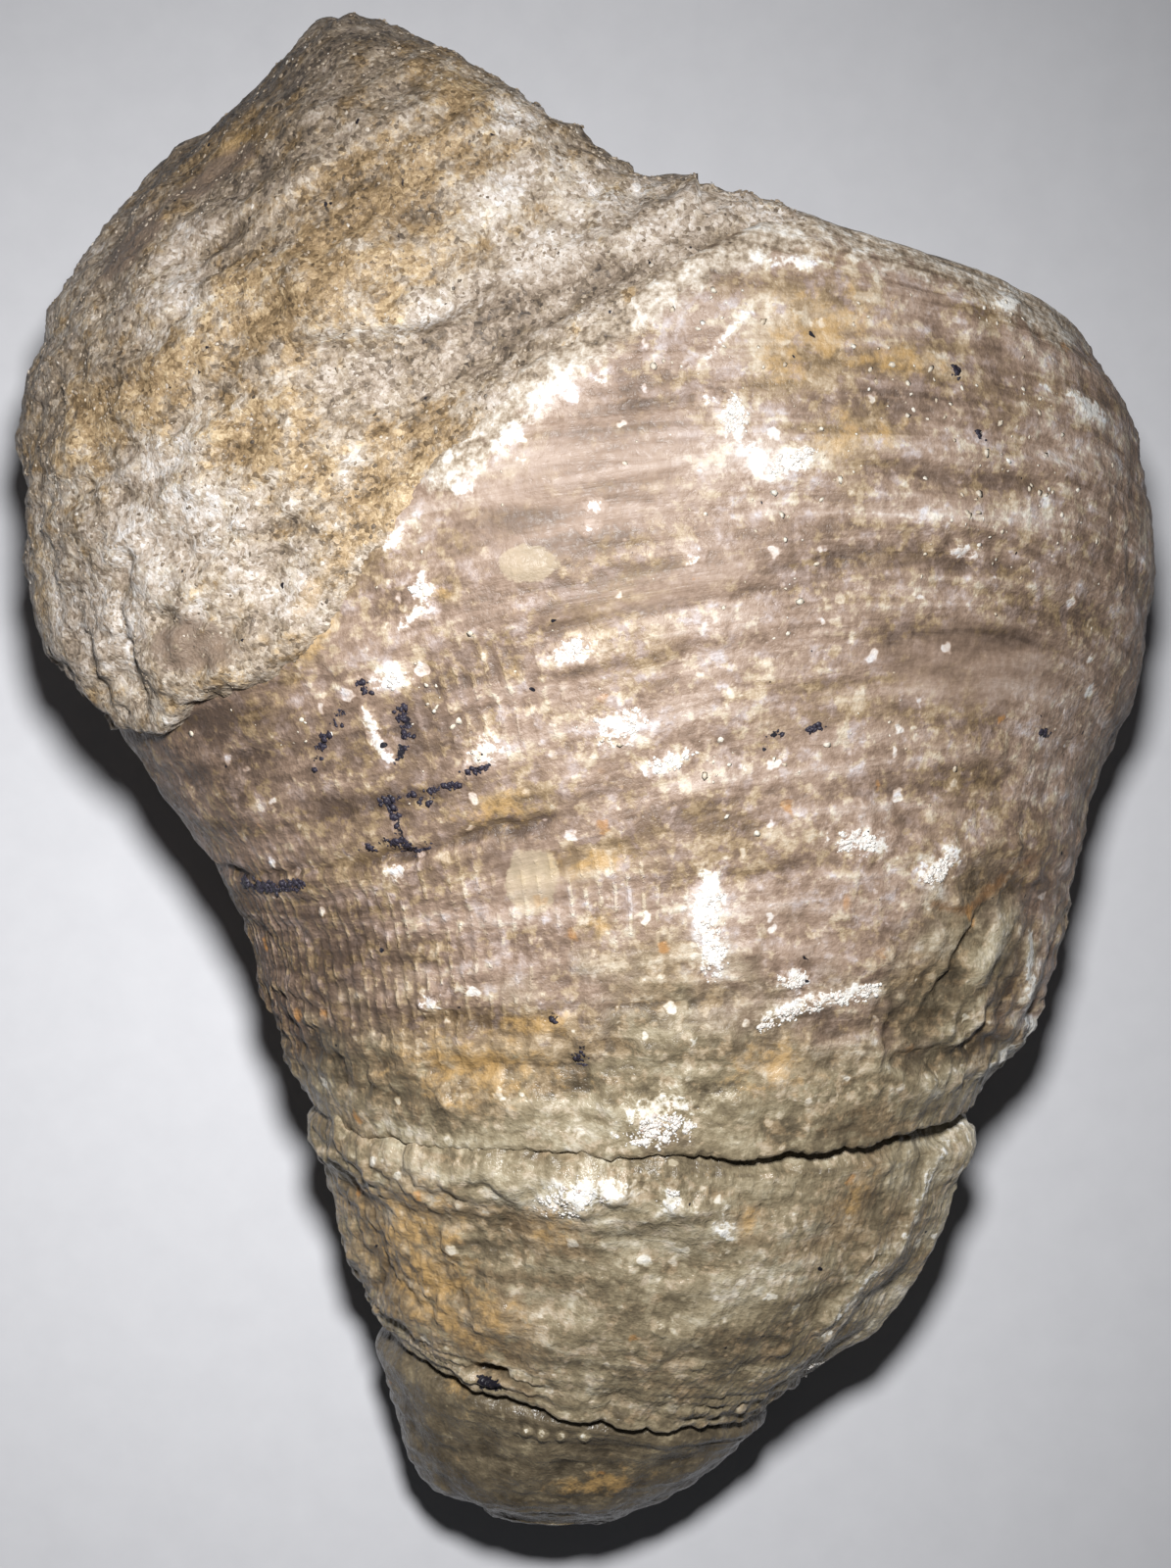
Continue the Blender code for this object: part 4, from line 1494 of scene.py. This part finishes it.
quartz_sand_piece = one_kind(
    "quartz_sand",
    [(stone_filling_piece, sand_weight, 3800, 62)],
    seed=63,
    size=(0.07, 0.05, 2.5),
    tone=(0.45, 0.09, 0.2, 0.7),
    flatness=0.5,
    finish=("sand_quartz", SAND_TONES, 0.45),
    shape_seed=64,
    smooth=False,
)

# %% Lime crust
CRUST_SPOTS = [
    (4.4, -23.1, 2.6, 0.9, 8), (-0.9, -27.4, 2.4, 1.2, 12), (17.3, -4.3, 1.2, 0.8, -10),
    (22.4, -6.4, 0.7, 0.6, 0), (23.3, -5.6, 0.5, 0.7, 0), (13.2, -13.2, 0.9, 0.5, 10),
    (9.4, 22.9, 0.7, 1.4, 0), (12.9, 20.1, 1.8, 0.6, 25), (2.0, 3.3, 1.7, 1.1, 10),
    (5.4, 1.0, 1.6, 0.5, 20), (-0.9, 8.1, 1.0, 0.6, 20), (-10.6, 12.0, 0.9, 0.5, 15),
    (5.5, -27.6, 0.7, 0.7, 0), (15.2, -39.3, 0.8, 0.5, 0), (-12.2, 6.2, 1.0, 0.6, 0),
]
CRUST_STROKES = [
    (0.7, (8.0, -8.0), (8.2, -12.6)), (0.4, (11.4, -16.2), (14.2, -14.9), (18.6, -14.0)),
]


def crust_weight(places):
    """Thick and lacy inside the crust's spots and strokes."""
    mask = marks_mask(places, CRUST_SPOTS, CRUST_STROKES)
    lacy = eased((0.16 - np.abs(rough(places, 1.1, 3, 71))) / 0.12)
    return eased((mask - 0.42) * 4) * (0.04 + lacy)


lime_crust_piece = one_kind(
    "lime_crust",
    [(last_cup_piece, crust_weight, 4200, 72), (second_cup_piece, crust_weight, 1800, 74)],
    seed=73,
    size=(0.05, 0.05, 2.5),
    tone=(0.80, 0.07, 0, 1),
    flatness=0.55,
    finish=("white_lime", MAUVE_TONES, 0.8),
    shape_seed=75,
)

# %% Black mineral along cracks
BLACK_TONES = [(0.0, BLACK), (1.0, (0.07, 0.06, 0.09))]


def black_weight(places):
    """Branching threads inside the black spots and strokes."""
    branching = eased(rough(places, 0.9, 3, 81) * 2 + 0.5)
    mask = marks_mask(places, BLACK_SPOTS, BLACK_STROKES)
    return eased((mask - 0.40) * 3.3) * (0.05 + branching)


black_mineral_piece = one_kind(
    "black_mineral",
    [(last_cup_piece, black_weight, 1300, 82)],
    seed=83,
    size=(0.08, 0.07, 2.5),
    tone=(0.3, 0.05, 0, 1),
    flatness=0.30,
    finish=("black_oxide", BLACK_TONES, 0.45),
    shape_seed=84,
)

# %% [markdown]
# ## Hand the pieces to the frame
# Every piece rides on the one body, and the plain solid is hidden in its place.

# %% Ride and replace
PIECES = [
    last_cup_piece,
    second_cup_piece,
    first_cup_piece,
    stone_filling_piece,
    calcite_beads_piece,
    quartz_sand_piece,
    lime_crust_piece,
    black_mineral_piece,
]
for piece in PIECES:
    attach(piece, "root")
    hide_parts("horn_coral")

# %% [markdown]
# ## Camera, light and floor
# The camera looks straight down on the coral from a metre above. A small soft lamp stands close
# beside the line of sight, towards the mouth, so the shadows are short and fall towards the
# first cup. A weak even light from all round fills them.

# %% Camera
CAMERA_HEIGHT = 1000.0
CAMERA_X, CAMERA_Y = -0.13, -0.54
VIEW_HEIGHT = 103.2
MIDDLE_HEIGHT = 25.0
SENSOR = 36.0

camera_data = bpy.data.cameras.new("camera")
camera_data.sensor_width = SENSOR
camera_data.lens = SENSOR * (CAMERA_HEIGHT - MIDDLE_HEIGHT) / VIEW_HEIGHT
camera_data.clip_start, camera_data.clip_end = 0.05, 20
camera = bpy.data.objects.new("camera", camera_data)
camera.location = (CAMERA_X * MM, CAMERA_Y * MM, CAMERA_HEIGHT * MM)
bpy.context.scene.collection.objects.link(camera)
bpy.context.scene.camera = camera
print("camera:", round(camera_data.lens, 1), "mm lens,", CAMERA_HEIGHT, "mm up")


# %% Light
def soft_lamp(name, place, target, size, power, spread):
    """A round lamp at a place in mm, aimed at a target, with its size in mm and power in watts."""
    lamp = bpy.data.lights.new(name, "AREA")
    lamp.shape = "DISK"
    lamp.size = size * MM
    lamp.energy = power
    lamp.spread = math.radians(spread)
    holder = bpy.data.objects.new(name, lamp)
    holder.location = Vector(place) * MM
    holder.rotation_euler = (Vector(target) - Vector(place)).to_track_quat("-Z", "Y").to_euler()
    bpy.context.scene.collection.objects.link(holder)
    print(name, "at", place, "mm,", power, "W")


soft_lamp("key_lamp", (2, 72, 520), (-16, -8, 0), 48, 0.103, 26)
world = bpy.data.worlds.new("studio")
world.use_nodes = True
background = world.node_tree.nodes["Background"]
background.inputs["Color"].default_value = (0.92, 0.95, 1.0, 1)
background.inputs["Strength"].default_value = 0.055
bpy.context.scene.world = world
bpy.context.scene.view_settings.view_transform = "Standard"


# %% Floor
def pale_floor():
    """A plain sheet of pale paper."""
    bm = bmesh.new()
    bmesh.ops.create_grid(bm, x_segments=1, y_segments=1, size=1.5)
    mesh = bpy.data.meshes.new("floor")
    bm.to_mesh(mesh)
    bm.free()
    floor = bpy.data.objects.new("floor", mesh)
    bpy.context.scene.collection.objects.link(floor)
    f = Finish("pale_paper")
    speckle = f.noise(f.mm, 0.35, 3, 0.6)
    colour = f.blend(speckle, (0.42, 0.422, 0.442), (0.465, 0.467, 0.487))
    mesh.materials.append(f.finish(colour, 0.8, speckle, 0.02))
    return floor


pale_floor()
